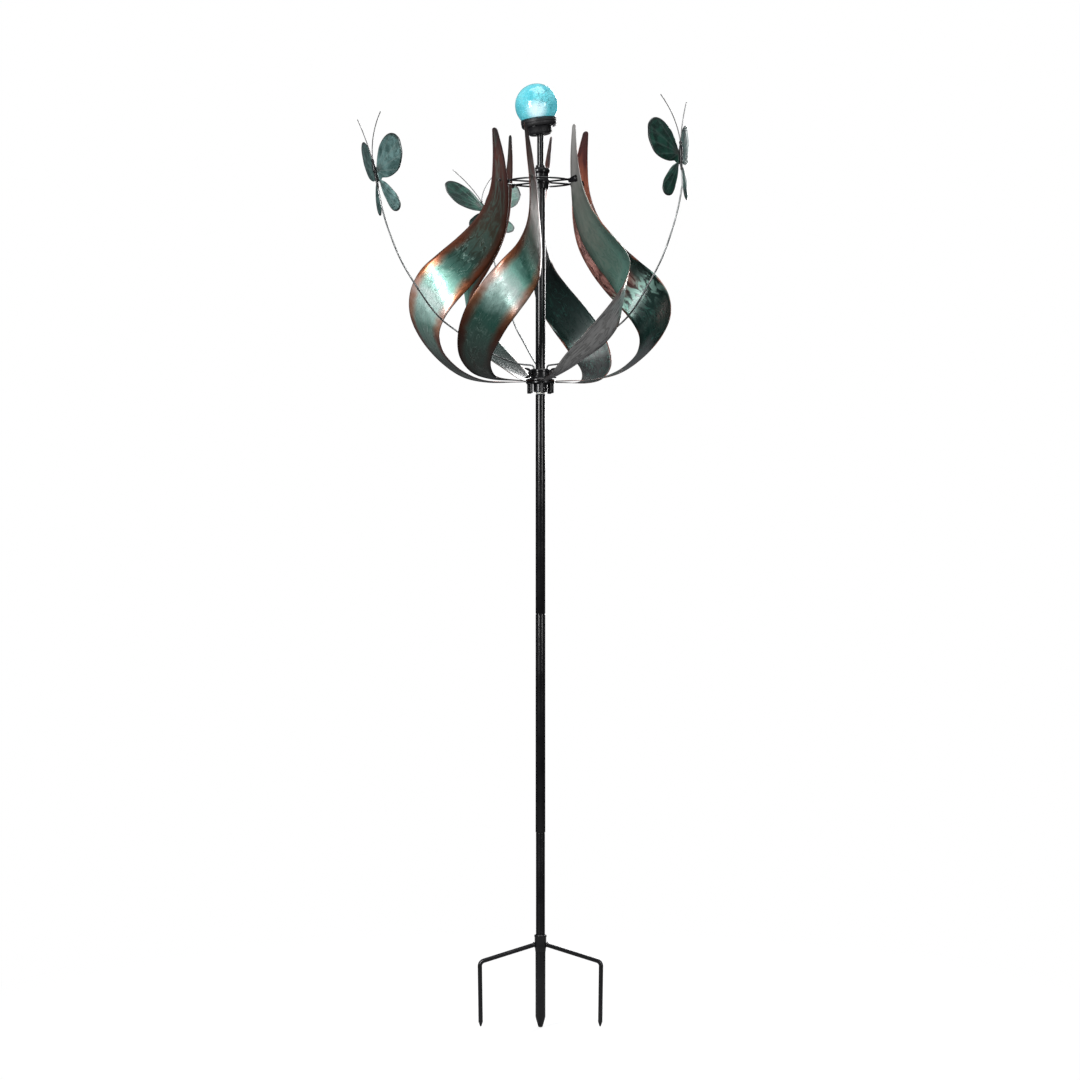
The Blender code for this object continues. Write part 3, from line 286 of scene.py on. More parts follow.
class Paint(Graph):
    """A Principled material and the textures that it is mixed from."""

    def __init__(self, name, **settings):
        self.material = bpy.data.materials.new(name)
        self.material.use_nodes = True
        super().__init__(self.material.node_tree)
        self.shader = self.tree.nodes["Principled BSDF"]
        for key, value in settings.items():
            self.shader.inputs[key.replace("_", " ")].default_value = value

    def link(self, socket, name):
        self.tree.links.new(socket, self.shader.inputs[name])

    def attribute(self, name):
        return self.node("ShaderNodeAttribute", attribute_name=name).outputs["Fac"]

    def place(self):
        return self.node("ShaderNodeTexCoord").outputs["Object"]

    def vector(self, x, y, z):
        return self.node("ShaderNodeCombineXYZ", {0: x, 1: y, 2: z}).outputs[0]

    def noise(self, vector, scale, detail=3.0, distortion=0.0):
        return self.node("ShaderNodeTexNoise", {
            "Vector": vector, "Scale": scale, "Detail": detail,
            "Distortion": distortion}).outputs["Fac"]

    def cell_edges(self, vector, scale):
        return self.node("ShaderNodeTexVoronoi", {"Vector": vector, "Scale": scale},
                         feature="DISTANCE_TO_EDGE").outputs["Distance"]

    def distance(self, place, spot):
        return self.node("ShaderNodeVectorMath", {0: place, 1: spot},
                         operation="DISTANCE").outputs["Value"]

    def lines(self, value, width):
        """Thin lines where a noise crosses its middle, 1 on the line."""
        away = self.math("ABSOLUTE", self.math("SUBTRACT", value, 0.5))
        return self.remap(away, 0.0, width, 1.0, 0.0)

    def bump(self, height, strength, distance):
        made = self.node("ShaderNodeBump", {"Height": height, "Strength": strength,
                                            "Distance": distance})
        self.link(made.outputs[0], "Normal")


# --- materials ---
def clouded(name, scale, detail, dark, pale, smooth, rough, grain=None, **settings):
    """Clouds from dark to pale and from smooth to rough, and a fine grain if given."""
    paint = Paint(name, **settings)
    place = paint.place()
    cloud = paint.noise(place, scale, detail)
    paint.link(paint.mix(cloud, dark, pale), "Base Color")
    paint.link(paint.remap(cloud, 0.3, 0.7, smooth, rough), "Roughness")
    if grain:
        grain_scale, grain_detail, strength, depth = grain
        paint.bump(paint.noise(place, grain_scale, grain_detail), strength, depth)
    return paint.material


def black_paint():
    """Powder-coated steel: near black, faintly pebbled, a little dusty."""
    return clouded("black_paint", 22.0, 4.0, (0.003, 0.003, 0.0035), (0.009, 0.009, 0.010),
                   0.20, 0.30, (900.0, 2.0, 0.12, 0.0002), Coat_Weight=0.2,
                   Coat_Roughness=0.16, Specular_IOR_Level=0.35)


def black_plastic():
    """Moulded plastic with a fine spark-eroded grain."""
    return clouded("black_plastic", 45.0, 3.0, (0.008, 0.008, 0.009),
                   (0.020, 0.020, 0.021), 0.38, 0.55, (1500.0, 3.0, 0.2, 0.0002),
                   Specular_IOR_Level=0.4)


def nylon():
    return clouded("nylon", 300.0, 3.0, (0.62, 0.61, 0.56), (0.78, 0.77, 0.72), 0.42, 0.55,
                   Subsurface_Weight=0.1)


def battery_case():
    return clouded("battery_case", 150.0, 3.0, (0.10, 0.22, 0.12), (0.16, 0.32, 0.18),
                   0.28, 0.40, Metallic=0.4)


def spring_steel(name, dark, pale):
    """Drawn wire: uncoated grey metal with fine drawing marks."""
    paint = Paint(name, Metallic=0.85)
    place = paint.place()
    cloud = paint.noise(place, 35.0, 4.0)
    marks = paint.noise(place, 700.0, 2.0)
    paint.link(paint.mix(paint.remap(cloud, 0.35, 0.65), dark, pale), "Base Color")
    paint.link(paint.remap(marks, 0.3, 0.7, 0.28, 0.48), "Roughness")
    paint.bump(marks, 0.15, 0.0001)
    return paint.material


PETAL_LENGTH = 0.76         # along a petal, for the scale of its paint
PETAL_HALF_WIDTH = 0.036


class PetalPaint(Paint):
    """The marks and noises that both faces of a petal share."""

    def __init__(self, name, **settings):
        super().__init__(name, **settings)
        self.along = self.attribute("along")
        self.across = self.attribute("across")
        length = self.times(self.along, PETAL_LENGTH)
        width = self.times(self.across, PETAL_HALF_WIDTH)
        seed = self.attribute("seed")
        flat = self.vector(length, width, seed)
        brushed = self.vector(self.times(length, 0.3), width, seed)
        self.cloud = self.noise(flat, 26.0, 5.0, 0.6)
        self.strokes = self.noise(brushed, 85.0, 5.0, 1.8)
        self.fine = self.noise(brushed, 240.0, 4.0, 1.0)
        blotch = self.noise(flat, 9.0, 3.0, 0.4)
        scribble = self.times(self.lines(self.strokes, 0.022),
                              self.remap(self.cloud, 0.42, 0.62))
        self.chalk = self.times(scribble, self.remap(self.along, 0.24, 0.36))
        self.scratch = self.times(self.lines(self.fine, 0.035),
                                  self.remap(blotch, 0.42, 0.60))
        self.spot = self.shift(self.along, self.cloud, 0.10)
        self.from_middle = self.math("ABSOLUTE", self.across)
        self.edge = self.shift(self.from_middle, self.cloud, 0.45)
        self.edge_mask = self.remap(self.edge, 0.48, 0.88)


def outer_face(paint):
    """Teal with a painted highlight band in pale mint across the belly, coppery edges
    brightened by the same painted highlight, and at the root a painted grey floor reflection on
    some petals and a darkened root on others.
    """
    # Along the petal: dark red tip, olive neck, teal, then a painted highlight band in pale
    # mint across the belly, dark below it, and a painted grey floor reflection near the root.
    patina_and_painted_light = paint.ramp(paint.spot, (
        (0.00, (0.014, 0.005, 0.006)), (0.07, (0.080, 0.018, 0.012)),
        (0.14, (0.036, 0.013, 0.008)), (0.27, (0.034, 0.028, 0.015)),
        (0.35, (0.018, 0.040, 0.030)), (0.42, (0.028, 0.128, 0.096)),
        (0.465, (0.340, 0.720, 0.600)), (0.500, (0.780, 0.950, 0.900)),
        (0.545, (0.560, 0.860, 0.780)), (0.60, (0.045, 0.185, 0.142)),
        (0.66, (0.062, 0.140, 0.112)), (0.71, (0.030, 0.062, 0.048)),
        (0.77, (0.034, 0.032, 0.022)), (0.84, (0.320, 0.320, 0.310)),
        (1.00, (0.110, 0.110, 0.106))))
    # Coppery edges, brightened to near white where they cross the band, as a painted highlight.
    copper_and_highlight = paint.ramp(paint.spot, (
        (0.00, (0.012, 0.006, 0.007)), (0.07, (0.040, 0.010, 0.010)),
        (0.17, (0.060, 0.018, 0.011)), (0.30, (0.070, 0.024, 0.011)),
        (0.40, (0.160, 0.040, 0.013)), (0.46, (0.480, 0.170, 0.075)),
        (0.52, (0.880, 0.640, 0.560)), (0.57, (0.560, 0.230, 0.110)),
        (0.63, (0.200, 0.042, 0.015)), (0.72, (0.062, 0.016, 0.009)),
        (0.80, (0.050, 0.038, 0.034)), (1.00, (0.045, 0.040, 0.040))))
    color = paint.over(patina_and_painted_light, (0.055, 0.150, 0.125),
                       paint.remap(paint.strokes, 0.45, 0.62), 0.30)
    color = paint.over(color, (0.400, 0.590, 0.520), paint.chalk, 0.60)
    color = paint.over(color, (0.016, 0.052, 0.042), paint.scratch, 0.50)
    color = paint.over(color, copper_and_highlight, paint.edge_mask)
    # A painted grey floor reflection over the root where the petal's value is above 0; below 0
    # the root is darkened instead.
    floor_reflection = paint.mix(paint.remap(paint.strokes, 0.35, 0.65), (0.360, 0.360, 0.350),
                     (0.560, 0.560, 0.550))
    silver = paint.attribute("silver")
    root_darkening = paint.times(silver, -1.0)
    root = paint.remap(paint.spot, 0.50, 0.60)
    color = paint.over(color, floor_reflection, silver, root)
    color = paint.over(color, (0.010, 0.016, 0.013), root_darkening, root)
    rim = paint.remap(paint.from_middle, 0.955, 1.0)
    return paint.over(color, (0.028, 0.010, 0.008), rim, 0.8)


def inner_face(paint):
    """Dark or pale along its length, the pale ramp holding a painted grey reflection at the tip
    and root; on a rusty petal red on one side, with pale scribbles brightened as a painted
    highlight across the belly band.
    """
    dark = paint.ramp(paint.spot, (
        (0.00, (0.040, 0.014, 0.014)), (0.05, (0.080, 0.014, 0.012)),
        (0.12, (0.420, 0.120, 0.065)), (0.19, (0.120, 0.060, 0.048)),
        (0.34, (0.012, 0.020, 0.017)), (0.48, (0.005, 0.024, 0.019)),
        (0.60, (0.004, 0.018, 0.015)), (0.72, (0.005, 0.008, 0.007)),
        (0.82, (0.018, 0.019, 0.018)), (1.00, (0.050, 0.050, 0.049))))
    # The pale ramp: a painted grey reflection of the white surroundings at the tip and root,
    # lighter green between.
    light = paint.ramp(paint.spot, (
        (0.00, (0.360, 0.350, 0.340)), (0.09, (0.230, 0.225, 0.215)),
        (0.17, (0.110, 0.125, 0.108)), (0.40, (0.085, 0.180, 0.145)),
        (0.55, (0.100, 0.260, 0.215)), (0.66, (0.070, 0.130, 0.110)),
        (0.76, (0.200, 0.200, 0.195)), (1.00, (0.270, 0.270, 0.265))))
    color = paint.mix(paint.attribute("pale"), dark, light)
    color = paint.over(color, (0.060, 0.260, 0.205), paint.chalk, 0.40)
    color = paint.over(color, (0.006, 0.016, 0.014), paint.scratch, 0.30)
    rust = paint.attribute("rust")
    rusty = paint.mix(paint.remap(paint.strokes, 0.38, 0.62), (0.075, 0.024, 0.020),
                      (0.330, 0.150, 0.125))
    side = paint.shift(paint.across, paint.cloud, 0.5)
    color = paint.over(color, rusty, rust, paint.remap(paint.along, 0.16, 0.26),
                       paint.remap(paint.spot, 0.40, 0.47, 1.0, 0.0),
                       paint.remap(side, -0.55, -0.15))
    # Pale scribbles on a rusty petal, brightened across the belly band as a painted highlight.
    color = paint.over(color, (0.190, 0.340, 0.290), rust,
                       paint.remap(paint.strokes, 0.44, 0.60),
                       paint.remap(paint.spot, 0.40, 0.44),
                       paint.remap(paint.spot, 0.46, 0.53, 1.0, 0.0))
    return paint.over(color, (0.230, 0.070, 0.040), paint.remap(paint.edge, 0.93, 1.06),
                      0.85)


def petal_patina():
    """Brushed teal patination over coppery paint, airbrushed dark towards the tip and darker
    towards the root, with a painted highlight band across the belly and painted grey floor
    reflections near the root.
    """
    paint = PetalPaint("petal_patina", Coat_Weight=0.28, Coat_Roughness=0.14)
    inside = paint.attribute("inside")
    paint.link(paint.mix(inside, outer_face(paint), inner_face(paint)), "Base Color")
    paint.link(paint.plus(paint.times(paint.edge_mask, 0.35), 0.28), "Metallic")
    dull = paint.times(paint.remap(paint.along, 0.20, 0.36, 1.0, 0.0), 0.16)
    brushed = paint.remap(paint.strokes, 0.35, 0.65, 0.24, 0.40)
    paint.link(paint.plus(brushed, dull), "Roughness")
    paint.bump(paint.plus(paint.times(paint.strokes, 0.5), paint.fine), 0.16, 0.0006)
    return paint.material


def wing_patina():
    """Pressed wings: mottled green patination, paler on some wing sides than on others, pale
    worn veins and dark rims.
    """
    paint = Paint("wing_patina", Coat_Weight=0.4, Coat_Roughness=0.2, Metallic=0.45)
    place = paint.place()
    reach = paint.attribute("reach")
    pale = paint.attribute("pale")
    cloud = paint.noise(place, 55.0, 5.0, 0.5)
    mottle = paint.remap(cloud, 0.35, 0.65)
    strokes = paint.noise(place, 150.0, 4.0, 2.2)
    deep = paint.mix(mottle, (0.004, 0.030, 0.020), (0.010, 0.085, 0.056))
    # Each wing side is drawn from the deep green towards this paler tone by its own value.
    pale_tone = paint.mix(mottle, (0.080, 0.165, 0.160), (0.210, 0.370, 0.365))
    color = paint.mix(pale, deep, pale_tone)
    color = paint.over(color, (0.260, 0.400, 0.370), paint.lines(strokes, 0.03),
                       paint.plus(0.12, paint.times(pale, 0.3)))
    blotch = paint.remap(paint.noise(place, 80.0, 3.0), 0.56, 0.68)
    color = paint.over(color, (0.020, 0.055, 0.048), blotch, 0.5)
    color = paint.over(color, (0.300, 0.400, 0.375), paint.attribute("vein"),
                       paint.plus(0.16, paint.times(pale, 0.30)))
    streak = paint.remap(paint.noise(place, 210.0, 2.0, 1.5), 0.54, 0.62)
    color = paint.over(color, (0.010, 0.022, 0.020), paint.remap(reach, 0.62, 0.86),
                       streak, 0.75)
    color = paint.over(color, (0.010, 0.018, 0.016), paint.remap(reach, 0.91, 0.99))
    root = paint.remap(reach, 0.05, 0.30, 1.0, 0.0)
    color = paint.over(color, (0.100, 0.105, 0.100), root, 0.7)
    paint.link(color, "Base Color")
    paint.link(paint.remap(cloud, 0.3, 0.7, 0.26, 0.42), "Roughness")
    paint.bump(strokes, 0.10, 0.0002)
    return paint.material


CRAZED_SPOT = (0.014, -0.040, 2.100)      # the middle of the globe's darker cracks
LIT_SPOT = (-0.008, -0.045, 2.064)        # and of a painted glow, the paler part above its lamp


def crackle_glass():
    """Tinted glass, clear on the outside and crazed with fine cracks inside it, with a faint
    glow over the whole globe and a painted glow above its lamp.
    """
    paint = Paint("crackle_glass", Transmission_Weight=0.35, IOR=1.45, Coat_Weight=0.3,
                  Coat_Roughness=0.06, Emission_Strength=0.22)
    place = paint.place()
    warp = paint.noise(place, 60.0, 3.0)
    bent = paint.mix(0.012, place, paint.vector(warp, paint.noise(place, 75.0, 3.0), warp))
    crack = paint.remap(paint.cell_edges(bent, 95.0), 0.0, 0.05, 1.0, 0.0)
    near = paint.remap(paint.distance(place, CRAZED_SPOT), 0.022, 0.042, 1.0, 0.12)
    craze = paint.times(paint.remap(paint.cell_edges(bent, 130.0), 0.0, 0.09, 1.0, 0.0),
                        near)
    cloud = paint.remap(paint.noise(place, 28.0, 3.0), 0.35, 0.65)
    tint = paint.mix(cloud, (0.090, 0.500, 0.580), (0.190, 0.640, 0.700))
    tint = paint.over(tint, (0.380, 0.780, 0.860), crack, 0.35)
    # A painted glow: the paler patch above the lamp.
    lit = paint.remap(paint.distance(place, LIT_SPOT), 0.008, 0.030, 0.95, 0.0)
    tint = paint.over(tint, (0.780, 0.960, 1.000), lit)
    fleck = paint.remap(paint.noise(place, 110.0, 2.0), 0.44, 0.50)
    tint = paint.over(tint, (0.005, 0.085, 0.110), craze, fleck, 0.9)
    paint.link(tint, "Base Color")
    paint.link(tint, "Emission Color")
    paint.link(paint.remap(crack, 0.0, 1.0, 0.10, 0.35), "Roughness")
    paint.bump(paint.plus(crack, craze), 0.15, 0.0004)
    return paint.material


def solar_cell():
    """Dark blue cells with pale collector lines, under a clear sheet."""
    paint = Paint("solar_cell", Coat_Weight=1.0, Coat_Roughness=0.05, Roughness=0.35)
    place = paint.place()
    split = paint.node("ShaderNodeSeparateXYZ", {0: place})
    line = paint.math("PINGPONG", split.outputs["X"], 0.0045)
    finger = paint.math("PINGPONG", split.outputs["Y"], 0.0011)
    bars = paint.remap(line, 0.0, 0.0006, 1.0, 0.0)
    hairs = paint.times(paint.remap(finger, 0.0, 0.0002, 1.0, 0.0), 0.4)
    cell = paint.mix(paint.noise(place, 220.0, 3.0), (0.004, 0.010, 0.040),
                     (0.012, 0.035, 0.090))
    paint.link(paint.over(cell, (0.35, 0.38, 0.42), paint.math("MAXIMUM", bars, hairs)),
               "Base Color")
    return paint.material


def circuit_board():
    paint = Paint("circuit_board", Roughness=0.4)
    track = paint.lines(paint.noise(paint.place(), 420.0, 1.0), 0.05)
    paint.link(paint.mix(track, (0.010, 0.120, 0.045), (0.060, 0.300, 0.110)), "Base Color")
    return paint.material


MATERIALS = {
    "black_paint": black_paint(), "black_plastic": black_plastic(), "nylon": nylon(),
    "spring_steel": spring_steel("spring_steel", (0.15, 0.16, 0.16), (0.40, 0.41, 0.41)),
    "antenna_steel": spring_steel("antenna_steel", (0.09, 0.09, 0.09), (0.24, 0.24, 0.24)),
    "rivet_steel": spring_steel("rivet_steel", (0.05, 0.05, 0.05), (0.16, 0.16, 0.16)),
    "petal_patina": petal_patina(), "wing_patina": wing_patina(),
    "crackle_glass": crackle_glass(), "solar_cell": solar_cell(),
    "battery_case": battery_case(), "circuit_board": circuit_board()}


# --- mesh tools ---
def from_bmesh(bm, name):
    bmesh.ops.recalc_face_normals(bm, faces=bm.faces)
    mesh = bpy.data.meshes.new(name)
    bm.to_mesh(mesh)
    bm.free()
    return mesh


def new_piece(name, shape, body, slot, *nodes, material=None):
    """Adds a mesh or bmesh that rides on body, in its slot's material or a named one."""
    mesh = from_bmesh(shape, name) if isinstance(shape, bmesh.types.BMesh) else shape
    obj = add_object(name, mesh)
    mesh.materials.append(MATERIALS[material or slot])
    mesh.shade_smooth()
    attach(obj, body)
    if nodes:
        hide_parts(*nodes)
    return obj


def soften(obj, width, segments=2):
    bevel = obj.modifiers.new("edges", "BEVEL")
    bevel.width = width
    bevel.segments = segments
    bevel.limit_method = "ANGLE"
    bevel.angle_limit = math.radians(30)
    bevel.harden_normals = True
    bevel.use_clamp_overlap = True


def polar(radius, azimuth, height):
    angle = math.radians(azimuth)
    return Vector((radius * math.cos(angle), radius * math.sin(angle), height))


def skin(bm, rings, closed=False):
    """Faces between rings of vertices, of which some may be a single point."""
    for first, second in zip(rings, rings[1:] + rings[:1] * closed):
        sides = max(len(first), len(second))
        for side in range(sides):
            after = (side + 1) % sides
            corners = dict.fromkeys((
                first[side % len(first)], first[after % len(first)],
                second[after % len(second)], second[side % len(second)]))
            if len(corners) > 2:
                bm.faces.new(list(corners))


def add_turned(bm, profile, sides=48, closed=False, matrix=Matrix.Identity(4)):
    """Adds the profile (radius, height), turned about Z, then moved by matrix."""
    rings = []
    for radius, height in profile:
        count = sides if radius else 1
        rings.append([bm.verts.new(matrix @ polar(radius, 360 * side / sides, height))
                      for side in range(count)])
    skin(bm, rings, closed)


def add_tube(bm, points, radius, sides=16):
    """Adds a round rod through the points, with rounded ends."""
    points = [Vector(point) for point in points]
    normal = (points[1] - points[0]).orthogonal()
    stations = []
    for before, point, after in zip(points[:1] + points, points, points[1:] + points[-1:]):
        tangent = (after - before).normalized()
        normal = (normal - tangent * normal.dot(tangent)).normalized()
        stations.append((point, tangent, normal, radius))
    ends = []
    for (point, tangent, normal, _), sign in ((stations[0], -1), (stations[-1], 1)):
        ends.append([(point + tangent * sign * radius * 0.6 * math.sin(angle), tangent,
                      normal, radius * math.cos(angle))
                     for angle in (math.radians(30), math.radians(60))])
    rings = []
    for point, tangent, normal, size in ends[0][::-1] + stations + ends[1]:
        axes = Matrix((normal, tangent.cross(normal), tangent)).transposed()
        rings.append([bm.verts.new(point + axes @ polar(size, 360 * side / sides, 0))
                      for side in range(sides)])
    skin(bm, rings)
    bm.faces.new(rings[0])
    bm.faces.new(rings[-1])


def add_plate(bm, outline, thickness, matrix):
    """A flat plate: the outline (x, z) with its thickness along Y, moved by matrix."""
    front, rear = ([bm.verts.new(matrix @ Vector((x, y, z))) for x, z in outline]
                   for y in (-thickness / 2, thickness / 2))
    bm.faces.new(front)
    bm.faces.new(rear[::-1])
    skin(bm, (front, rear))


def add_ball(bm, radius, centre, subdivisions=3, matrix=Matrix.Identity(4)):
    bmesh.ops.create_icosphere(bm, subdivisions=subdivisions, radius=radius,
                               matrix=matrix @ Matrix.Translation(centre))


def turned_piece(name, node, body, slot, profile, sides=48, closed=True,
                 matrix=Matrix.Identity(4), edge=0.0005):
    bm = bmesh.new()
    add_turned(bm, profile, sides, closed, matrix)
    obj = new_piece(name, bm, body, slot, node)
    if edge:
        soften(obj, edge)


def bush_profile(inner, outer, bottom, top, chamfer):
    """The section of a ring whose outer edges are chamfered."""
    return ((inner, top), (outer - chamfer, top), (outer, top - chamfer),
            (outer, bottom + chamfer), (outer - chamfer, bottom), (inner, bottom))


def rounded_box(width, height, corner, steps=5):
    points = []
    for quarter, (sx, sz) in enumerate(((1, 1), (-1, 1), (-1, -1), (1, -1))):
        for step in range(steps + 1):
            angle = math.radians(90 * quarter + 90 * step / steps)
            points.append((sx * (width / 2 - corner) + corner * math.cos(angle),
                           sz * (height / 2 - corner) + corner * math.sin(angle)))
    return points


def smooth_curve(points, place):
    """A point of the smooth curve through the points; place runs from 0 to 1."""
    last = len(points) - 1
    span = min(int(place * last), last - 1)
    t = place * last - span
    before = points[span - 1] if span else 2 * points[0] - points[1]
    start, end = points[span], points[span + 1]
    after = points[span + 2] if span + 2 <= last else 2 * points[last] - points[last - 1]
    return 0.5 * (2 * start + (end - before) * t
                  + (2 * before - 5 * start + 4 * end - after) * t ** 2
                  + (3 * start - before - 3 * end + after) * t ** 3)


def set_attribute(mesh, name, values):
    mesh.attributes.new(name, "FLOAT", "POINT").data.foreach_set(
        "value", np.asarray(values, np.float32))


# --- stake and pole ---
def make_spike():
    radius = radius_of("stake_spike")
    top = low("stake_collar").z + 0.003
    turned_piece("spike", "stake_spike", "mast", "black_paint", (
        (0, top), (radius, top), (radius, 0.024), (radius - 0.0004, 0.0215),
        (0.0054, 0.0020), (0.0042, 0.0004), (0.0030, 0), (0, 0)), closed=False, edge=0.0004)


def make_stake_collar():
    """The socket, with a shallow waist and a weld round the spike."""
    hole = 0.0104
    radius = radius_of("stake_collar")
    waist = radius - 0.0008
    spike = radius_of("stake_spike")
    bottom, top = heights("stake_collar")
    turned_piece("collar", "stake_collar", "mast", "black_paint", (
        (hole, top), (radius - 0.0012, top), (radius, top - 0.0012), (radius, top - 0.0045),
        (waist, top - 0.006), (waist, bottom + 0.009), (spike + 0.0006, bottom - 0.004),
        (spike + 0.0001, bottom - 0.006), (spike - 0.002, bottom - 0.004),
        (hole, bottom + 0.010)))


PRONG_START = 0.0105        # of its arm, inside the collar
PRONG_SPLAY = 0.002         # of its foot, inwards
PRONG_POINT = 0.010         # the length of its tapered end
BEAD_PLACE = 0.0035         # of the weld along the arm
BEAD_RADIUS = 0.0014


def make_prong(side, name):
    """The rod: out along its arm, round the bend and down to a point."""
    arm_height = low("stake_collar").z + PRONG_ARM_HEIGHT
    start = Vector((side * PRONG_START, 0, arm_height))
    bend = Vector((side * PRONG_REACH, 0, arm_height - PRONG_DROP))
    foot = Vector((side * (PRONG_REACH - PRONG_SPLAY), 0, low("prong_" + name).z))
    arm = (bend - start).normalized()
    leg = (foot - bend).normalized()
    cut = PRONG_BEND_RADIUS * math.tan(arm.angle(leg) / 2)
    first, last = bend - arm * cut, bend + leg * cut
    points = [start.lerp(first, step / 8) for step in range(8)]
    points += [first.lerp(bend, t).lerp(bend.lerp(last, t), t)
               for t in (step / 16 for step in range(17))]
    points += [last.lerp(foot, step / 12) for step in range(1, 12)]
    bm = bmesh.new()
    add_tube(bm, points + [foot + Vector((0, 0, PRONG_POINT))], PRONG_RADIUS, sides=28)
    add_turned(bm, ((PRONG_RADIUS, PRONG_POINT + 0.0025),
                    (PRONG_RADIUS * 0.96, PRONG_POINT + 0.0005), (0.0020, 0.0012),
                    (0.0010, 0.0), (0, 0)), 28, matrix=Matrix.Translation(foot))
    new_piece("bent_prong_" + name, bm, "mast", "black_paint", "prong_" + name)
    make_weld_bead(name, start + arm * BEAD_PLACE, arm)


def make_weld_bead(name, place, arm):
    """A slightly uneven ring of weld round a prong's arm."""
    turn = Matrix.Translation(place) @ arm.to_track_quat("Z", "Y").to_matrix().to_4x4()
    ring = []
    for azimuth in range(0, 361, 10):
        angle = math.radians(azimuth)
        wobble = 0.0003 * math.sin(7 * angle) + 0.0002 * math.sin(11 * angle + 1)
        ring.append(turn @ polar(PRONG_RADIUS + 0.0004 + wobble, azimuth, 0))
    bm = bmesh.new()
    add_tube(bm, ring, BEAD_RADIUS, sides=10)
    new_piece("weld_bead_" + name, bm, "mast", "black_paint")


def swage(radius, joint, inset, bore):
    """The outline of a section's top, narrowed to slip into the next section."""
    return ((radius, joint - 0.0016), (radius - inset, joint - 0.0006),
            (radius - inset, joint + 0.01), (radius - bore, joint + 0.01))


def make_pole():
    """Three sections and the plug that closes the top one round the spindle."""
    lower, upper = radius_of("pole_lower"), radius_of("pole_middle")
    foot = high("stake_collar").z - 0.008
    first, second = low("pole_middle").z, low("pole_upper").z
    top = high("pole_upper").z
    seats = [((upper - 0.0009, joint), (upper - 0.0002, joint), (upper, joint + 0.0004))
             for joint in (first, second)]
    for section, profile in (
            ("lower", ((lower - 0.001, foot), (lower, foot),
                       *swage(lower, first, 0.0010, 0.0020))),
            ("middle", (*seats[0], *swage(upper, second, 0.0014, 0.0022))),
            ("upper", (*seats[1], (upper, top - 0.0006), (upper - 0.0006, top),
                       (upper - 0.001, top)))):
        turned_piece(section + "_pole", "pole_" + section, "mast", "black_paint", profile,
                     sides=64, edge=0.0003)
    plug_top = high("pole_plug").z
    spindle = radius_of("spindle")
    turned_piece("plug", "pole_plug", "mast", "black_plastic", (
        (spindle, plug_top), (upper - 0.0012, plug_top), (upper, plug_top - 0.0008),
        (upper, top + GAP), (upper - 0.0015, top), (spindle, top - 0.01)), edge=0.0002)


def make_spindle():
    """The rod, with the washer that carries the rotor and the collar that stops it."""
    radius = radius_of("spindle")
    bottom, top = heights("spindle")
    turned_piece("spindle_rod", "spindle", "mast", "black_paint", (
        (0, bottom), (radius, bottom), (radius, top), (0, top)), closed=False, edge=0.0004)
    washer = radius_of("thrust_washer")
    bottom, top = heights("thrust_washer")
    turned_piece("washer", "thrust_washer", "mast", "nylon", (
        (radius + 0.0002, top), (washer, top), (washer, bottom),
        (radius + 0.0002, bottom)), edge=0.0004)
    turned_piece("collar_stop", "stop_collar", "mast", "black_paint", bush_profile(
        radius + 0.0001, radius_of("stop_collar"), *heights("stop_collar"), 0.0008),
        edge=0.0003)


# --- petals ---
PETAL_ROWS = 150
PETAL_COLUMNS = 14
TIP_ROWS = 9
PETAL_CROWN = 0.0014
PETAL_RIM = 0.00035         # how far the edge stands out
PETAL_PALENESS = (0.12, 0.0, 1.0, 0.0, 0.0, 0.5)     # of each petal's inner face; the pale ramp holds a painted grey reflection
PETAL_RUST = (0.0, 0.0, 0.1, 1.0, 0.0, 0.0)          # on one side of its inner face
PETAL_ROOT_REFLECTION = (0.2, -0.6, 1.0, -0.5, -0.9, 0.4)     # painted grey floor reflection on its outer root; below 0, the root is darkened instead
OUTER_EDGE = [polar(r, a, ROOT_HEIGHT + h) for r, a, h in PETAL_OUTER_EDGE]
INNER_EDGE = [polar(r, a, ROOT_HEIGHT + h) for r, a, h in PETAL_INNER_EDGE]


def petal_azimuth(index):
    return PETAL_FIRST_AZIMUTH + index * 360.0 / PETAL_COUNT + PETAL_SKEWS[index]


def petal_turn(index):
    return Matrix.Rotation(math.radians(petal_azimuth(index)), 4, "Z")


def petal_point(along, across):
    outer = smooth_curve(OUTER_EDGE, along)
    inner = smooth_curve(INNER_EDGE, along)
    return outer.lerp(inner, (across + 1) / 2)


def petal_rows():
    """Each row's place along the petal and its width's share, round at the tip."""
    half = (petal_point(0, -1) - petal_point(0, 1)).length / 2
    pace = (petal_point(0.02, 0) - petal_point(0, 0)).length / 0.02
    rows = []
    for step in range(TIP_ROWS):
        angle = math.radians(90) * max(step, 0.25) / TIP_ROWS
        rows.append((half * (1 - math.cos(angle)) / pace, math.sin(angle)))
    start = half / pace
    for step in range(PETAL_ROWS + 1):
        rows.append((start + (1 - start) * step / PETAL_ROWS, 1.0))
    return rows


def crowned_middle(rows, columns):
    """The sheet's middle and its outward normals, on a grid of rows and columns."""
    middle = np.array([[petal_point(along, share * across) for across in columns]
                       for along, share in rows])
    normal = np.cross(np.gradient(middle, axis=0), np.gradient(middle, axis=1))
    normal /= np.linalg.norm(normal, axis=2, keepdims=True)
    centre = len(rows) // 2, len(columns) // 2
    normal *= np.sign(normal[centre][:2] @ middle[centre][:2])
    along = np.array([row[0] for row in rows])[:, None]
    crown = (PETAL_CROWN * (1 - np.array(columns) ** 2)
             * np.clip((along - 0.16) * 6, 0, 1) * np.clip((0.90 - along) * 6, 0, 1))
    return middle + normal * crown[:, :, None], normal


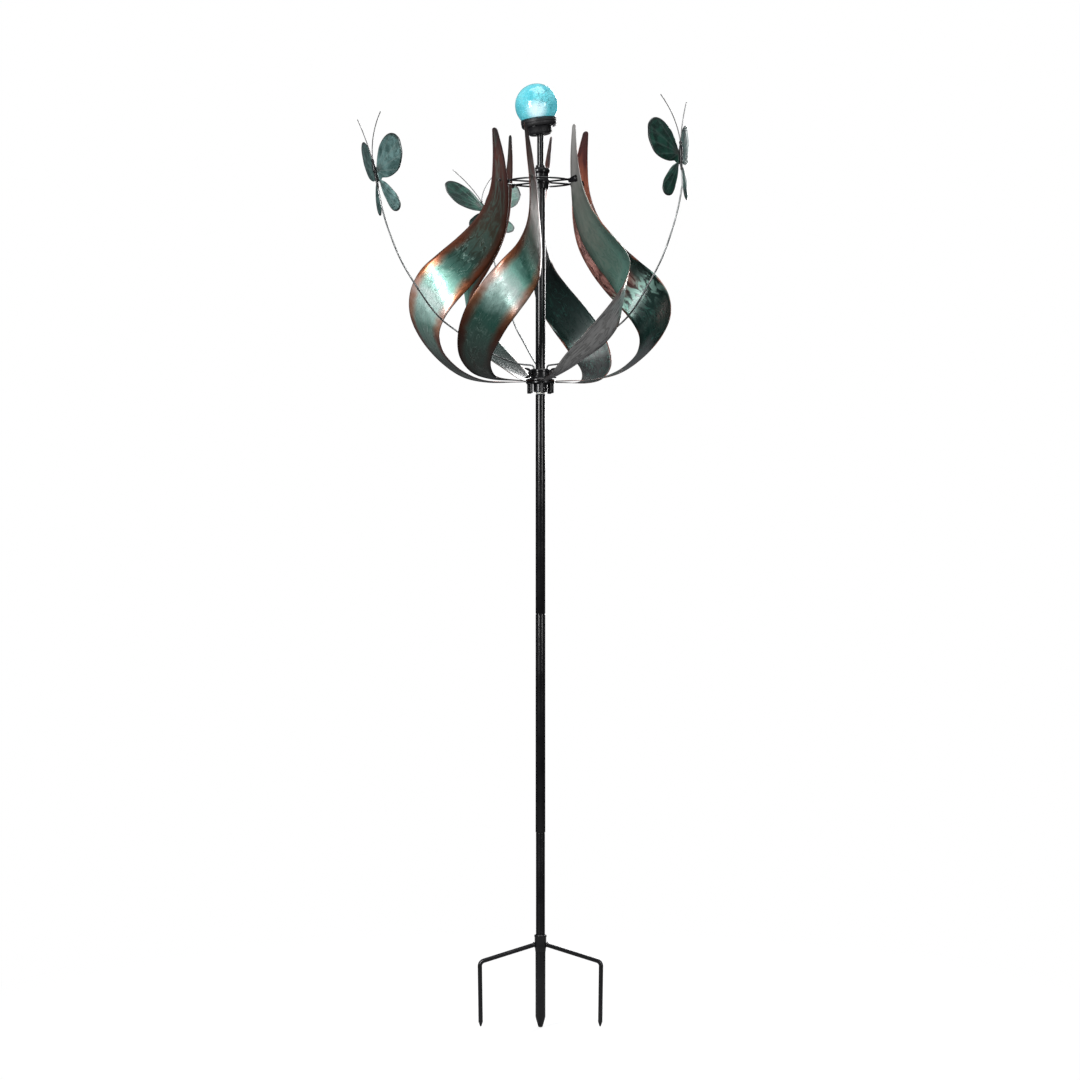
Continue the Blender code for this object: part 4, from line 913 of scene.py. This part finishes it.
def petal_shell():
    """Verts, faces, places (along, across) and sides of a petal at azimuth 0: two
    faces and a raised rim, as a closed shell."""
    rows = petal_rows()
    columns = [-1 + 2 * column / PETAL_COLUMNS for column in range(PETAL_COLUMNS + 1)]
    middle, normal = crowned_middle(rows, columns)
    places = np.array([[(along, across) for across in columns] for along, _ in rows])
    count, wide = len(rows), len(columns)
    loop = ([(0, column) for column in range(wide)]
            + [(row, wide - 1) for row in range(1, count)]
            + [(count - 1, column) for column in range(wide - 2, -1, -1)]
            + [(row, 0) for row in range(count - 2, 0, -1)])
    rim = []
    for row, column in loop:
        within = min(max(row, 1), count - 2), min(max(column, 1), wide - 2)
        away = middle[row, column] - middle[within]
        rim.append(middle[row, column] + away / np.linalg.norm(away) * PETAL_RIM)
    offset = normal * PETAL_THICKNESS / 2
    verts = np.concatenate([(middle + offset).reshape(-1, 3),
                            (middle - offset).reshape(-1, 3), rim])
    grid, total = count * wide, len(loop)
    faces = []
    for row in range(count - 1):
        for a in range(row * wide, row * wide + wide - 1):
            faces.append((a, a + 1, a + wide + 1, a + wide))
            faces.append((grid + a, grid + a + wide, grid + a + wide + 1, grid + a + 1))
    for step in range(total):
        after = (step + 1) % total
        first, second = (row * wide + column for row, column in (loop[step], loop[after]))
        edge, next_edge = 2 * grid + step, 2 * grid + after
        faces.append((first, edge, next_edge, second))
        faces.append((edge, grid + first, grid + second, next_edge))
    flat = places.reshape(-1, 2)
    spots = np.concatenate([flat, flat, [places[spot] for spot in loop]])
    sides = np.concatenate([np.zeros(grid), np.ones(grid), np.full(total, 0.5)])
    return verts, faces, spots, sides


def make_petals():
    verts, faces, spots, sides = petal_shell()
    for index in range(PETAL_COUNT):
        mesh = bpy.data.meshes.new("petal")
        turn = np.array(petal_turn(index).to_3x3())
        mesh.from_pydata((verts @ turn.T).tolist(), [], faces)
        bm = bmesh.new()
        bm.from_mesh(mesh)
        mesh = from_bmesh(bm, "petal_sheet_%d" % (index + 1))
        set_attribute(mesh, "along", spots[:, 0])
        set_attribute(mesh, "across", spots[:, 1])
        set_attribute(mesh, "inside", sides)
        for mark, value in (("pale", PETAL_PALENESS[index]), ("rust", PETAL_RUST[index]),
                            ("silver", PETAL_ROOT_REFLECTION[index]), ("seed", 0.37 * index)):
            set_attribute(mesh, mark, np.full(len(spots), value))
        new_piece("petal_sheet_%d" % (index + 1), mesh, "rotor", "petal_patina",
                  "petal_%d" % (index + 1))


# --- hubs and neck ring ---
def make_hubs():
    """Turned parts round the rotor's pipe, from below."""
    pipe = radius_of("rotor_tube")
    flange = radius_of("lower_hub")
    cap = radius_of("hub_cap")
    bore = 0.0081

    def turned(name, node, outline, edge=0.0004):
        bottom, top = heights(node)
        turned_piece(name, node, "rotor", "black_paint", outline(bottom, top), sides=64,
                     edge=edge)

    turned("rotor_pipe", "rotor_tube", lambda bottom, top: (
        (pipe - 0.0014, top), (pipe - 0.0003, top), (pipe, top - 0.0004),
        (pipe, bottom + 0.0004), (pipe - 0.0003, bottom), (pipe - 0.0014, bottom)), 0.0002)
    turned("petal_hub", "lower_hub", lambda bottom, top: (
        (pipe, top), (flange - 0.0008, top), (flange, top - 0.0008), (flange, top - 0.0032),
        (flange - 0.0008, top - 0.004), (0.0185, top - 0.004), (0.0162, top - 0.0062),
        (0.0160, bottom + 0.0012), (0.0148, bottom), (pipe, bottom)))
    turned("stem_clamp", "stem_hub", lambda bottom, top: (
        (pipe, top), (0.0205, top), (0.0230, top - 0.0022), (0.0230, top - 0.0060),
        (0.0222, top - 0.0068), (0.0222, bottom + 0.0085), (0.0230, bottom + 0.0062),
        (0.0244, bottom + 0.0042), (flange - 0.0008, bottom + 0.0040),
        (flange, bottom + 0.0032), (flange, bottom + 0.0008), (flange - 0.0008, bottom),
        (pipe, bottom)))
    turned("neck_hub", "upper_hub", lambda bottom, top: (
        (pipe, top), (0.0182, top), (0.0190, top - 0.0010), (0.0190, bottom + 0.0012),
        (0.0178, bottom), (pipe, bottom)))
    turned("rotor_cap", "hub_cap", lambda bottom, top: (
        (bore, top), (cap - 0.005, top), (cap - 0.0014, top - 0.0014), (cap, top - 0.0040),
        (cap, bottom + 0.0028), (cap - 0.0010, bottom + 0.0010), (cap - 0.0030, bottom),
        (bore, bottom)))


BOLT_SPIN = 17.0            # from one bolt to the next
BOLT_WASHER = 0.0012        # its thickness


def make_root_bolts():
    """Hexagon heads with a washer and a hollow end."""
    for index in range(PETAL_COUNT):
        node = "root_bolt_%d" % (index + 1)
        top = high("lower_hub").z - 0.0040
        head = top - BOLT_WASHER + 0.0001
        end = low(node).z
        place = Matrix.Translation(polar(
            ROOT_BOLT_CIRCLE, petal_azimuth(index) + ROOT_AZIMUTH, 0)) @ Matrix.Rotation(
            math.radians(index * BOLT_SPIN), 4, "Z")
        bm = bmesh.new()
        add_turned(bm, ((0.0022, top), (0.0060, top), (0.0060, top - BOLT_WASHER),
                        (0.0022, top - BOLT_WASHER)), 24, True, place)
        add_turned(bm, ((0.0008, head), (0.0050, head), (0.0050, end + 0.0012),
                        (0.0042, end), (0.0027, end), (0.0027, end + 0.0045),
                        (0.0008, end + 0.0045)), 6, True, place)
        soften(new_piece("hanging_bolt_%d" % (index + 1), bm, "rotor", "black_paint",
                         node), 0.0004)


def neck_frame():
    """The rivet's point on the petal at azimuth 0 and two axes: across the petal and
    out of its inner face."""
    place = 0.0
    while petal_point(place, 0.0).z > NECK_RING_HEIGHT:
        place += 0.0005
    centre = petal_point(place, 0.0)
    across = (petal_point(place, 1.0) - centre).normalized()
    along = petal_point(place - 0.02, 0.0) - petal_point(place + 0.02, 0.0)
    return centre, across, along.cross(across).normalized()


def run_to_hoop(start, way):
    run = 0.0
    while (start + way * run).xy.length > NECK_RING_RADIUS:
        run += 0.0002
    return run


RIVET, NECK_ACROSS, NECK_NORMAL = neck_frame()
TAB_FACE = PETAL_THICKNESS / 2 + TAB_STAND_OFF     # its distance from the petal's middle
TAB_MIDDLE = RIVET + NECK_NORMAL * (TAB_FACE + TAB_THICKNESS / 2)
TAB_RUN = run_to_hoop(TAB_MIDDLE, NECK_ACROSS)
TAB_CORNER = 0.0035
TAB_TAPER = 0.45            # of the height that a tab loses at its welded end
RIVET_HEAD = (0.0038, 0.0019)      # its radius and height
BAND_THICKNESS = 0.0028     # of the band that the spokes are welded to
BAND_REACH = 0.005          # of the band, above and below the spokes
SPOKE_SEAT = 0.0015         # from the hub to a spoke's end, and on to its weld
RIVET_SHANK = 0.0018


def make_neck_hoop():
    """The wire hoop, its spokes with their welds, and the band round the hub."""
    hub = radius_of("upper_hub")
    bm = bmesh.new()
    hoop = [polar(NECK_RING_RADIUS, step * 2.5, NECK_RING_HEIGHT) for step in range(145)]
    add_tube(bm, hoop, NECK_WIRE_RADIUS, sides=14)
    add_turned(bm, bush_profile(hub, hub + BAND_THICKNESS, NECK_RING_HEIGHT - BAND_REACH,
                                NECK_RING_HEIGHT + BAND_REACH, 0.0006), 48, True)
    for index in range(PETAL_COUNT):
        weld = petal_turn(index) @ (TAB_MIDDLE + NECK_ACROSS * TAB_RUN)
        out = Vector((weld.x, weld.y, 0)).normalized()
        centre = Vector((0, 0, NECK_RING_HEIGHT))
        start = centre + out * (hub + SPOKE_SEAT)
        end = centre + out * NECK_RING_RADIUS
        add_tube(bm, [start, start.lerp(end, 0.5), end], NECK_WIRE_RADIUS, sides=14)
        add_ball(bm, 0.0032, start + out * SPOKE_SEAT)
        add_ball(bm, 0.0030, end)
    new_piece("neck_hoop", bm, "rotor", "black_paint", "neck_ring")


def make_neck_tab(index):
    """A tapered plate from the petal's rivet to the hoop."""
    axes = Matrix((NECK_ACROSS, NECK_NORMAL, NECK_ACROSS.cross(NECK_NORMAL)))
    place = petal_turn(index) @ Matrix.Translation(
        TAB_MIDDLE + NECK_ACROSS * (TAB_RUN - TAB_REACH) / 2) @ axes.transposed().to_4x4()
    length = TAB_REACH + TAB_RUN
    outline = [(x, z * (1 - TAB_TAPER * (0.5 + x / length)))
               for x, z in rounded_box(length, TAB_HEIGHT, TAB_CORNER)]
    bm = bmesh.new()
    add_plate(bm, outline, TAB_THICKNESS, place)
    soften(new_piece("neck_tab_%d" % (index + 1), bm, "rotor", "black_paint"), 0.0004)


def make_rivet(index):
    """A shank through petal and tab, with a domed head at both ends."""
    stand = petal_turn(index) @ Matrix.Translation(RIVET) @ NECK_NORMAL.to_track_quat(
        "Z", "Y").to_matrix().to_4x4()
    radius, height = RIVET_HEAD
    front, rear = TAB_FACE + TAB_THICKNESS, -PETAL_THICKNESS / 2
    bm = bmesh.new()
    for face, rise in ((front, height), (rear, -height)):
        dome = [(radius * math.sin(math.radians(angle)),
                 face + rise * math.cos(math.radians(angle)))
                for angle in (0, 20, 40, 60, 75, 90)]
        add_turned(bm, dome + [(0, face)], 24, matrix=stand)
    add_turned(bm, ((0, front), (RIVET_SHANK, front), (RIVET_SHANK, rear), (0, rear)), 16,
               matrix=stand)
    new_piece("rivet_%d" % (index + 1), bm, "rotor", "spring_steel",
              "neck_rivet_%d" % (index + 1), material="rivet_steel")


# --- butterflies ---
STEM_STEPS = 56


def stem_points(index):
    """Up out of the socket, round a bend, then out and up to the butterfly."""
    socket = polar(SOCKET_CIRCLE, SOCKET_AZIMUTHS[index], 0)
    furthest = STEM_ROUTE[-1][0]

    def at(distance, height):
        drift = STEM_SWAYS[index] * (distance / furthest) ** 1.5
        return socket + polar(distance, STEM_AZIMUTHS[index] + drift, height)

    bend_start = STEM_HUB_TOP + 0.001
    bend = [at(STEM_BEND_RADIUS * (1 - math.cos(angle)),
               bend_start + STEM_BEND_RADIUS * math.sin(angle))
            for angle in (math.radians(step * 7.5) for step in range(11))]
    route = [bend[-1]] + [at(distance, ROOT_HEIGHT + height)
                          for distance, height in STEM_ROUTE]
    long_run = [smooth_curve(route, step / STEM_STEPS) for step in range(1, STEM_STEPS + 1)]
    top = long_run[-1] + body_direction(index, long_run[-1]) * STEM_TOP_LENGTHS[index]
    ends = [long_run[-1].lerp(top, share) for share in (0.5, 1.0)]
    return [at(0, STEM_HUB_TOP - SOCKET_DEPTH + GAP)] + bend + long_run + ends


def body_direction(index, place):
    lean = math.radians(BUTTERFLY_LEANS[index])
    out = Vector((place.x, place.y, 0)).normalized()
    return math.sin(lean) * out + math.cos(lean) * Vector((0, 0, 1))


def butterfly_frame(index):
    """Origin at the middle of the body; X across, Y out from the pole, Z up it."""
    end = stem_points(index)[-1]
    up = body_direction(index, end)
    across = Vector((end.x, end.y, 0)).cross(up).normalized()
    middle = end + up * (BODY_LENGTH / 2 - BODY_SOCKET + GAP)
    axes = Matrix((across, up.cross(across), up)).transposed().to_4x4()
    turn = Matrix.Rotation(math.radians(BUTTERFLY_TURNS[index]), 4, "Z")
    return Matrix.Translation(middle) @ axes @ turn


WING_RINGS = 22
WING_SPOKES = 90
WING_PALENESS = ((0.85, 0.55), (0.45, 0.0), (0.0, 0.05))   # each butterfly's two sides
UPPER_VEINS = (0.20, 0.33, 0.45, 0.57, 0.69, 0.80)   # places round the outline
LOWER_VEINS = (0.26, 0.40, 0.53, 0.66, 0.78)
VEIN_WIDTH = 0.013
VEIN_HEIGHT = 0.0004
FORK_REACH = 0.55           # where the middle vein forks
LIP_REACH = 0.945           # the middle of the wing's raised lip
LIP_HEIGHT = 0.0003
WING_CUP = 0.0035


def vein_share(around, reach, veins):
    """1 on the middle of a vein, 0 away from it."""
    width = VEIN_WIDTH * (0.5 + 0.5 / max(reach, 0.2))
    fade = max(0.0, min(1.0, (0.98 - reach) * 16))
    away = min(abs(around - vein) for vein in veins)
    share = max(0.0, 1 - away / width) * min(1.0, reach * 4)
    if reach > FORK_REACH:
        fork = abs(around - (veins[2] + 0.1 * (reach - FORK_REACH)))
        share = max(share, max(0.0, 1 - fork / width) * 0.8)
    return share * fade


def add_wing(verts, faces, marks, outline, root, veins, side):
    """One wing as rings about its root: cupped, with raised veins and a rim."""
    points = [Vector(point) for point in outline]
    fold = math.radians(WING_DIHEDRAL)
    first = len(verts)
    for ring in range(WING_RINGS + 1):
        reach = ring / WING_RINGS
        lip = math.exp(-((reach - LIP_REACH) / 0.02) ** 2)
        for spoke in range(WING_SPOKES + 1):
            around = spoke / WING_SPOKES
            spot = Vector(root).lerp(smooth_curve(points, around), reach)
            vein = vein_share(around, reach, veins)
            cup = WING_CUP * math.sin(math.pi * reach) * math.sin(math.pi * around)
            lift = cup + VEIN_HEIGHT * vein + LIP_HEIGHT * lip
            scallop = 1 + 0.004 * reach * math.cos(2 * math.pi * around * 9)
            run = (spot.x - WING_CREASE) * scallop
            verts.append((side * (WING_CREASE + run * math.cos(fold)),
                          lift - run * math.sin(fold), spot.y))
            marks.append((max(vein, 0.6 * lip if reach < 0.97 else 0.0), reach))
    stride = WING_SPOKES + 1
    for ring in range(WING_RINGS):
        for a in range(first + ring * stride, first + ring * stride + WING_SPOKES):
            faces.append((a, a + 1, a + stride + 1, a + stride)[::side])


def make_wings(index, place):
    """Both pairs of wings and the strip along the body that joins them, as one sheet."""
    verts, faces, marks = [], [], []
    for side in (-1, 1):
        add_wing(verts, faces, marks, UPPER_WING, UPPER_WING_ROOT, UPPER_VEINS, side)
        add_wing(verts, faces, marks, LOWER_WING, LOWER_WING_ROOT, LOWER_VEINS, side)
    first = len(verts)
    half_strip = WING_CREASE + 0.0004
    for height in (0.014, 0.004, -0.006, -0.018):
        for x in (-half_strip, 0.0, half_strip):
            verts.append((x, 0.0, height))
            marks.append((0.0, 0.1))
    for a in (first + row * 3 + column for row in range(3) for column in range(2)):
        faces.append((a, a + 3, a + 4, a + 1))
    behind = -(BODY_RADIUS * 1.15 + GAP + WING_THICKNESS)
    matrix = place @ Matrix.Translation((0, behind, 0))
    name = BUTTERFLY_NAMES[index]
    mesh = bpy.data.meshes.new("wings_" + name)
    mesh.from_pydata([matrix @ Vector(vert) for vert in verts], [], faces)
    set_attribute(mesh, "vein", [vein for vein, _ in marks])
    set_attribute(mesh, "reach", [reach for _, reach in marks])
    left, right = WING_PALENESS[index]
    set_attribute(mesh, "pale", [left if vert[0] < 0 else right for vert in verts])
    wings = new_piece("wings_" + name, mesh, "butterfly_" + name, "wing_patina",
                      "butterfly_" + name + "_wings")
    weld = wings.modifiers.new("weld", "WELD")
    weld.merge_threshold = 0.00002
    sheet = wings.modifiers.new("sheet", "SOLIDIFY")
    sheet.thickness = WING_THICKNESS
    sheet.offset = 0


ABDOMEN_RINGS = 9
ABDOMEN_TOP = 0.0335        # below the head
FEELER_RADIUS = 0.0011      # of an antenna with its paint


def abdomen_profile():
    """From the top of the head, over the thorax, down a ringed and tapering abdomen."""
    half, r = BODY_LENGTH / 2, BODY_RADIUS
    profile = [(r * share, half - depth) for share, depth in (
        (0, -0.0012), (0.5, -0.0008), (0.86, 0.0012), (0.98, 0.0038), (0.80, 0.0068),
        (0.70, 0.0082), (0.98, 0.0115), (1.15, 0.0170), (1.15, 0.0250), (0.95, 0.0300),
        (0.78, 0.0325))]
    for step in range(ABDOMEN_RINGS):
        height = half - ABDOMEN_TOP - step * (BODY_LENGTH - ABDOMEN_TOP - 0.002) / ABDOMEN_RINGS
        swell = r * (1.0 - 0.25 * step / ABDOMEN_RINGS)
        profile += [(swell * 0.88, height), (swell, height - 0.0010), (swell, height - 0.0020)]
    return profile + [(r * 0.70, -half + 0.001), (STEM_RADIUS + 0.0002, -half)]


def make_feelers(name, place):
    top = BODY_LENGTH / 2 + ANTENNA_RADIUS + GAP
    bm = bmesh.new()
    for side in (-1, 1):
        points = [place @ Vector((
            side * (ANTENNA_SPREAD * (0.45 * t + 0.55 * t * t) + 0.001 * (1 - t)),
            -0.012 * t * t, top + ANTENNA_RISE * t * (1 - 0.10 * t)))
            for t in (step / 28 for step in range(29))]
        add_tube(bm, points, FEELER_RADIUS, sides=10)
        add_ball(bm, 0.0012, points[-1], 2)
    add_ball(bm, 0.0013, (0, 0, top), 2, place)
    new_piece("feelers_" + name, bm, "butterfly_" + name,
              "spring_steel", "butterfly_" + name + "_antennae", material="antenna_steel")


def make_butterfly(index):
    name = BUTTERFLY_NAMES[index]
    body = "butterfly_" + name
    place = butterfly_frame(index)
    bm = bmesh.new()
    add_tube(bm, stem_points(index), STEM_RADIUS)
    new_piece("stem_" + name, bm, body, "spring_steel", body + "_stem")
    bm = bmesh.new()
    add_turned(bm, abdomen_profile(), 28, matrix=place)
    for side in (-1, 1):
        eye = (side * 0.0026, 0.0014, BODY_LENGTH / 2 - 0.0022)
        add_ball(bm, 0.0011, eye, matrix=place)
    new_piece("abdomen_" + name, bm, body, "black_paint", body + "_body")
    make_wings(index, place)
    make_feelers(name, place)


THUMB_HEIGHT = 0.0236       # of a wing screw's head, out from the pole's axis
THUMB_THICKNESS = 0.0026
HALF_THUMB = (
    (0.0000, 0.0058), (0.0020, 0.0056), (0.0045, 0.0068), (0.0065, 0.0105),
    (0.0082, 0.0150), (0.0098, 0.0176), (0.0113, 0.0172), (0.0118, 0.0150),
    (0.0117, 0.0110), (0.0108, 0.0065), (0.0088, 0.0030), (0.0055, 0.0014),
    (0.0000, 0.0010))


def make_wing_screws():
    """A winged plate on a turned head, clamping each stem in its socket."""
    outline = [(x, THUMB_HEIGHT + z) for x, z in HALF_THUMB]
    outline += [(-x, z) for x, z in outline[-2:0:-1]]
    head = [(radius, THUMB_HEIGHT + z) for radius, z in (
        (0, 0.0074), (0.0030, 0.0074), (0.0045, 0.0056), (0.0048, 0.0010), (0.0040, 0),
        (0.0020, 0), (0.0020, -0.0030), (0, -0.0030))]
    for name, azimuth in zip(BUTTERFLY_NAMES, SOCKET_AZIMUTHS):
        up, out = Vector((0, 0, 1)), polar(1, azimuth, 0)
        place = Matrix.Translation((0, 0, STEM_HUB_TOP - SOCKET_DEPTH / 2)) @ Matrix(
            (up, up.cross(out), out)).transposed().to_4x4()
        bm = bmesh.new()
        add_plate(bm, outline, THUMB_THICKNESS, place)
        add_turned(bm, head, 24, matrix=place)
        soften(new_piece("thumb_screw_" + name, bm, "rotor",
                         "black_paint", "wing_screw_" + name), 0.0006, 3)


# --- lamp ---
LAMP_PLACE = (Matrix.Translation((0, 0, LAMP_FOOT))
              @ Matrix.Rotation(math.radians(-LAMP_TILT), 4, "Y"))
BOSS_HEIGHT = 0.017
BASE_RADIUS = 0.0405
RIM_HEIGHT = 0.033
RIB_COUNT = 24
GLOBE_RADIUS = 0.0492
GLOBE_MOUTH = 0.0365
GLOBE_WALL = 0.002
GLOBE_STEPS = 56
SWITCH_AZIMUTH = 250.0


def make_lamp_base():
    """The boss and base with a bead round it, ribs under it and the solar panel."""
    spindle = radius_of("spindle") + 0.0010
    base, rim, boss = BASE_RADIUS, RIM_HEIGHT, BOSS_HEIGHT
    turned_piece("lamp_housing", "lamp_base", "mast", "black_plastic", (
        (0, 0.020), (base - 0.0025, 0.020), (base - 0.0025, rim), (base - 0.0010, rim),
        (base, rim - 0.0010), (base + 0.0004, rim - 0.0065), (base - 0.0008, rim - 0.0075),
        (base - 0.0008, rim - 0.0086), (base, rim - 0.0096), (base - 0.0006, boss + 0.0030),
        (base - 0.0030, boss), (0.0300, boss - 0.0006), (0.0280, boss - 0.0030),
        (0.0262, 0.0040), (0.0248, 0.0010), (0.0236, 0), (spindle, 0), (spindle, 0.008),
        (0, 0.008)), sides=72, closed=False, matrix=LAMP_PLACE, edge=0.0004)
    bm = bmesh.new()
    for step in range(RIB_COUNT):
        spot = Matrix.Rotation(2 * math.pi * step / RIB_COUNT, 4, "Z") @ Matrix.Translation(
            (0.0262, 0, boss / 2 + 0.0005))
        add_plate(bm, rounded_box(0.0016, 0.0115, 0.0007, 3), 0.0012, LAMP_PLACE @ spot)
    new_piece("lamp_ribs", bm, "mast", "black_plastic")
    panel = base - 0.0028
    turned_piece("solar_disc", "solar_panel", "mast", "solar_cell", (
        (0, rim), (panel - 0.0006, rim), (panel, rim - 0.0006), (panel, rim - 0.002),
        (0, rim - 0.002)), closed=False, matrix=LAMP_PLACE, edge=0.0)


def make_globe():
    """A blown globe, open where it sits on its seal."""
    centre = RIM_HEIGHT + 2 * GAP + math.sqrt(GLOBE_RADIUS ** 2 - GLOBE_MOUTH ** 2)
    stop = math.pi - math.asin(GLOBE_MOUTH / GLOBE_RADIUS)
    outer, inner = ([(radius * math.sin(stop * step / GLOBE_STEPS),
                      centre + radius * math.cos(stop * step / GLOBE_STEPS))
                     for step in range(GLOBE_STEPS + 1)]
                    for radius in (GLOBE_RADIUS, GLOBE_RADIUS - GLOBE_WALL))
    turned_piece("crackle_globe", "lamp_globe", "mast", "crackle_glass",
                 outer + inner[::-1], sides=96, closed=False, matrix=LAMP_PLACE, edge=0.0)
    turned_piece("globe_seal", "globe_ring", "mast", "black_plastic", [
        (radius, RIM_HEIGHT + height) for radius, height in (
            (0.0388, 0.0022), (0.0402, 0.0020), (0.0407, 0.0012), (0.0407, 0.0002),
            (0.0388, 0.0002))], sides=72, matrix=LAMP_PLACE, edge=0.0003)


def make_switch():
    """The slider under the lamp, with three grip ribs."""
    bottom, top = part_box("lamp_switch")
    place = (Matrix.Translation((bottom + top) / 2)
             @ Matrix.Rotation(math.radians(-LAMP_TILT), 4, "Y")
             @ Matrix.Rotation(math.radians(SWITCH_AZIMUTH), 4, "Z"))
    bm = bmesh.new()
    add_plate(bm, rounded_box(0.0040, 0.0058, 0.0006, 3), 0.0060, place)
    for step in (-1, 0, 1):
        add_plate(bm, rounded_box(0.0036, 0.0006, 0.00025, 2), 0.0009, place
                  @ Matrix.Translation((0, 0.0012 * step, -0.0030)))
    soften(new_piece("switch_slider", bm, "switch", "black_plastic", "lamp_switch"), 0.0003)


def dress_hidden_nodes():
    """The pieces inside the rotor and the lamp keep their CAD shape."""
    for node, slot in (("lower_bush", "nylon"), ("upper_bush", "nylon"),
                       ("battery", "battery_case"), ("lamp_board", "circuit_board")):
        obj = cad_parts[node]
        obj.data.materials.clear()
        obj.data.materials.append(MATERIALS[slot])


# --- assembly ---
make_camera()
make_floor()
make_world()
make_lights()
make_spike()
make_stake_collar()
make_prong(-1, "left")
make_prong(1, "right")
make_pole()
make_spindle()
make_hubs()
make_root_bolts()
make_neck_hoop()
for number in range(PETAL_COUNT):
    make_neck_tab(number)
    make_rivet(number)
make_petals()
for number in range(len(BUTTERFLY_NAMES)):
    make_butterfly(number)
make_wing_screws()
make_lamp_base()
make_globe()
make_switch()
dress_hidden_nodes()

bpy.context.view_layer.update()
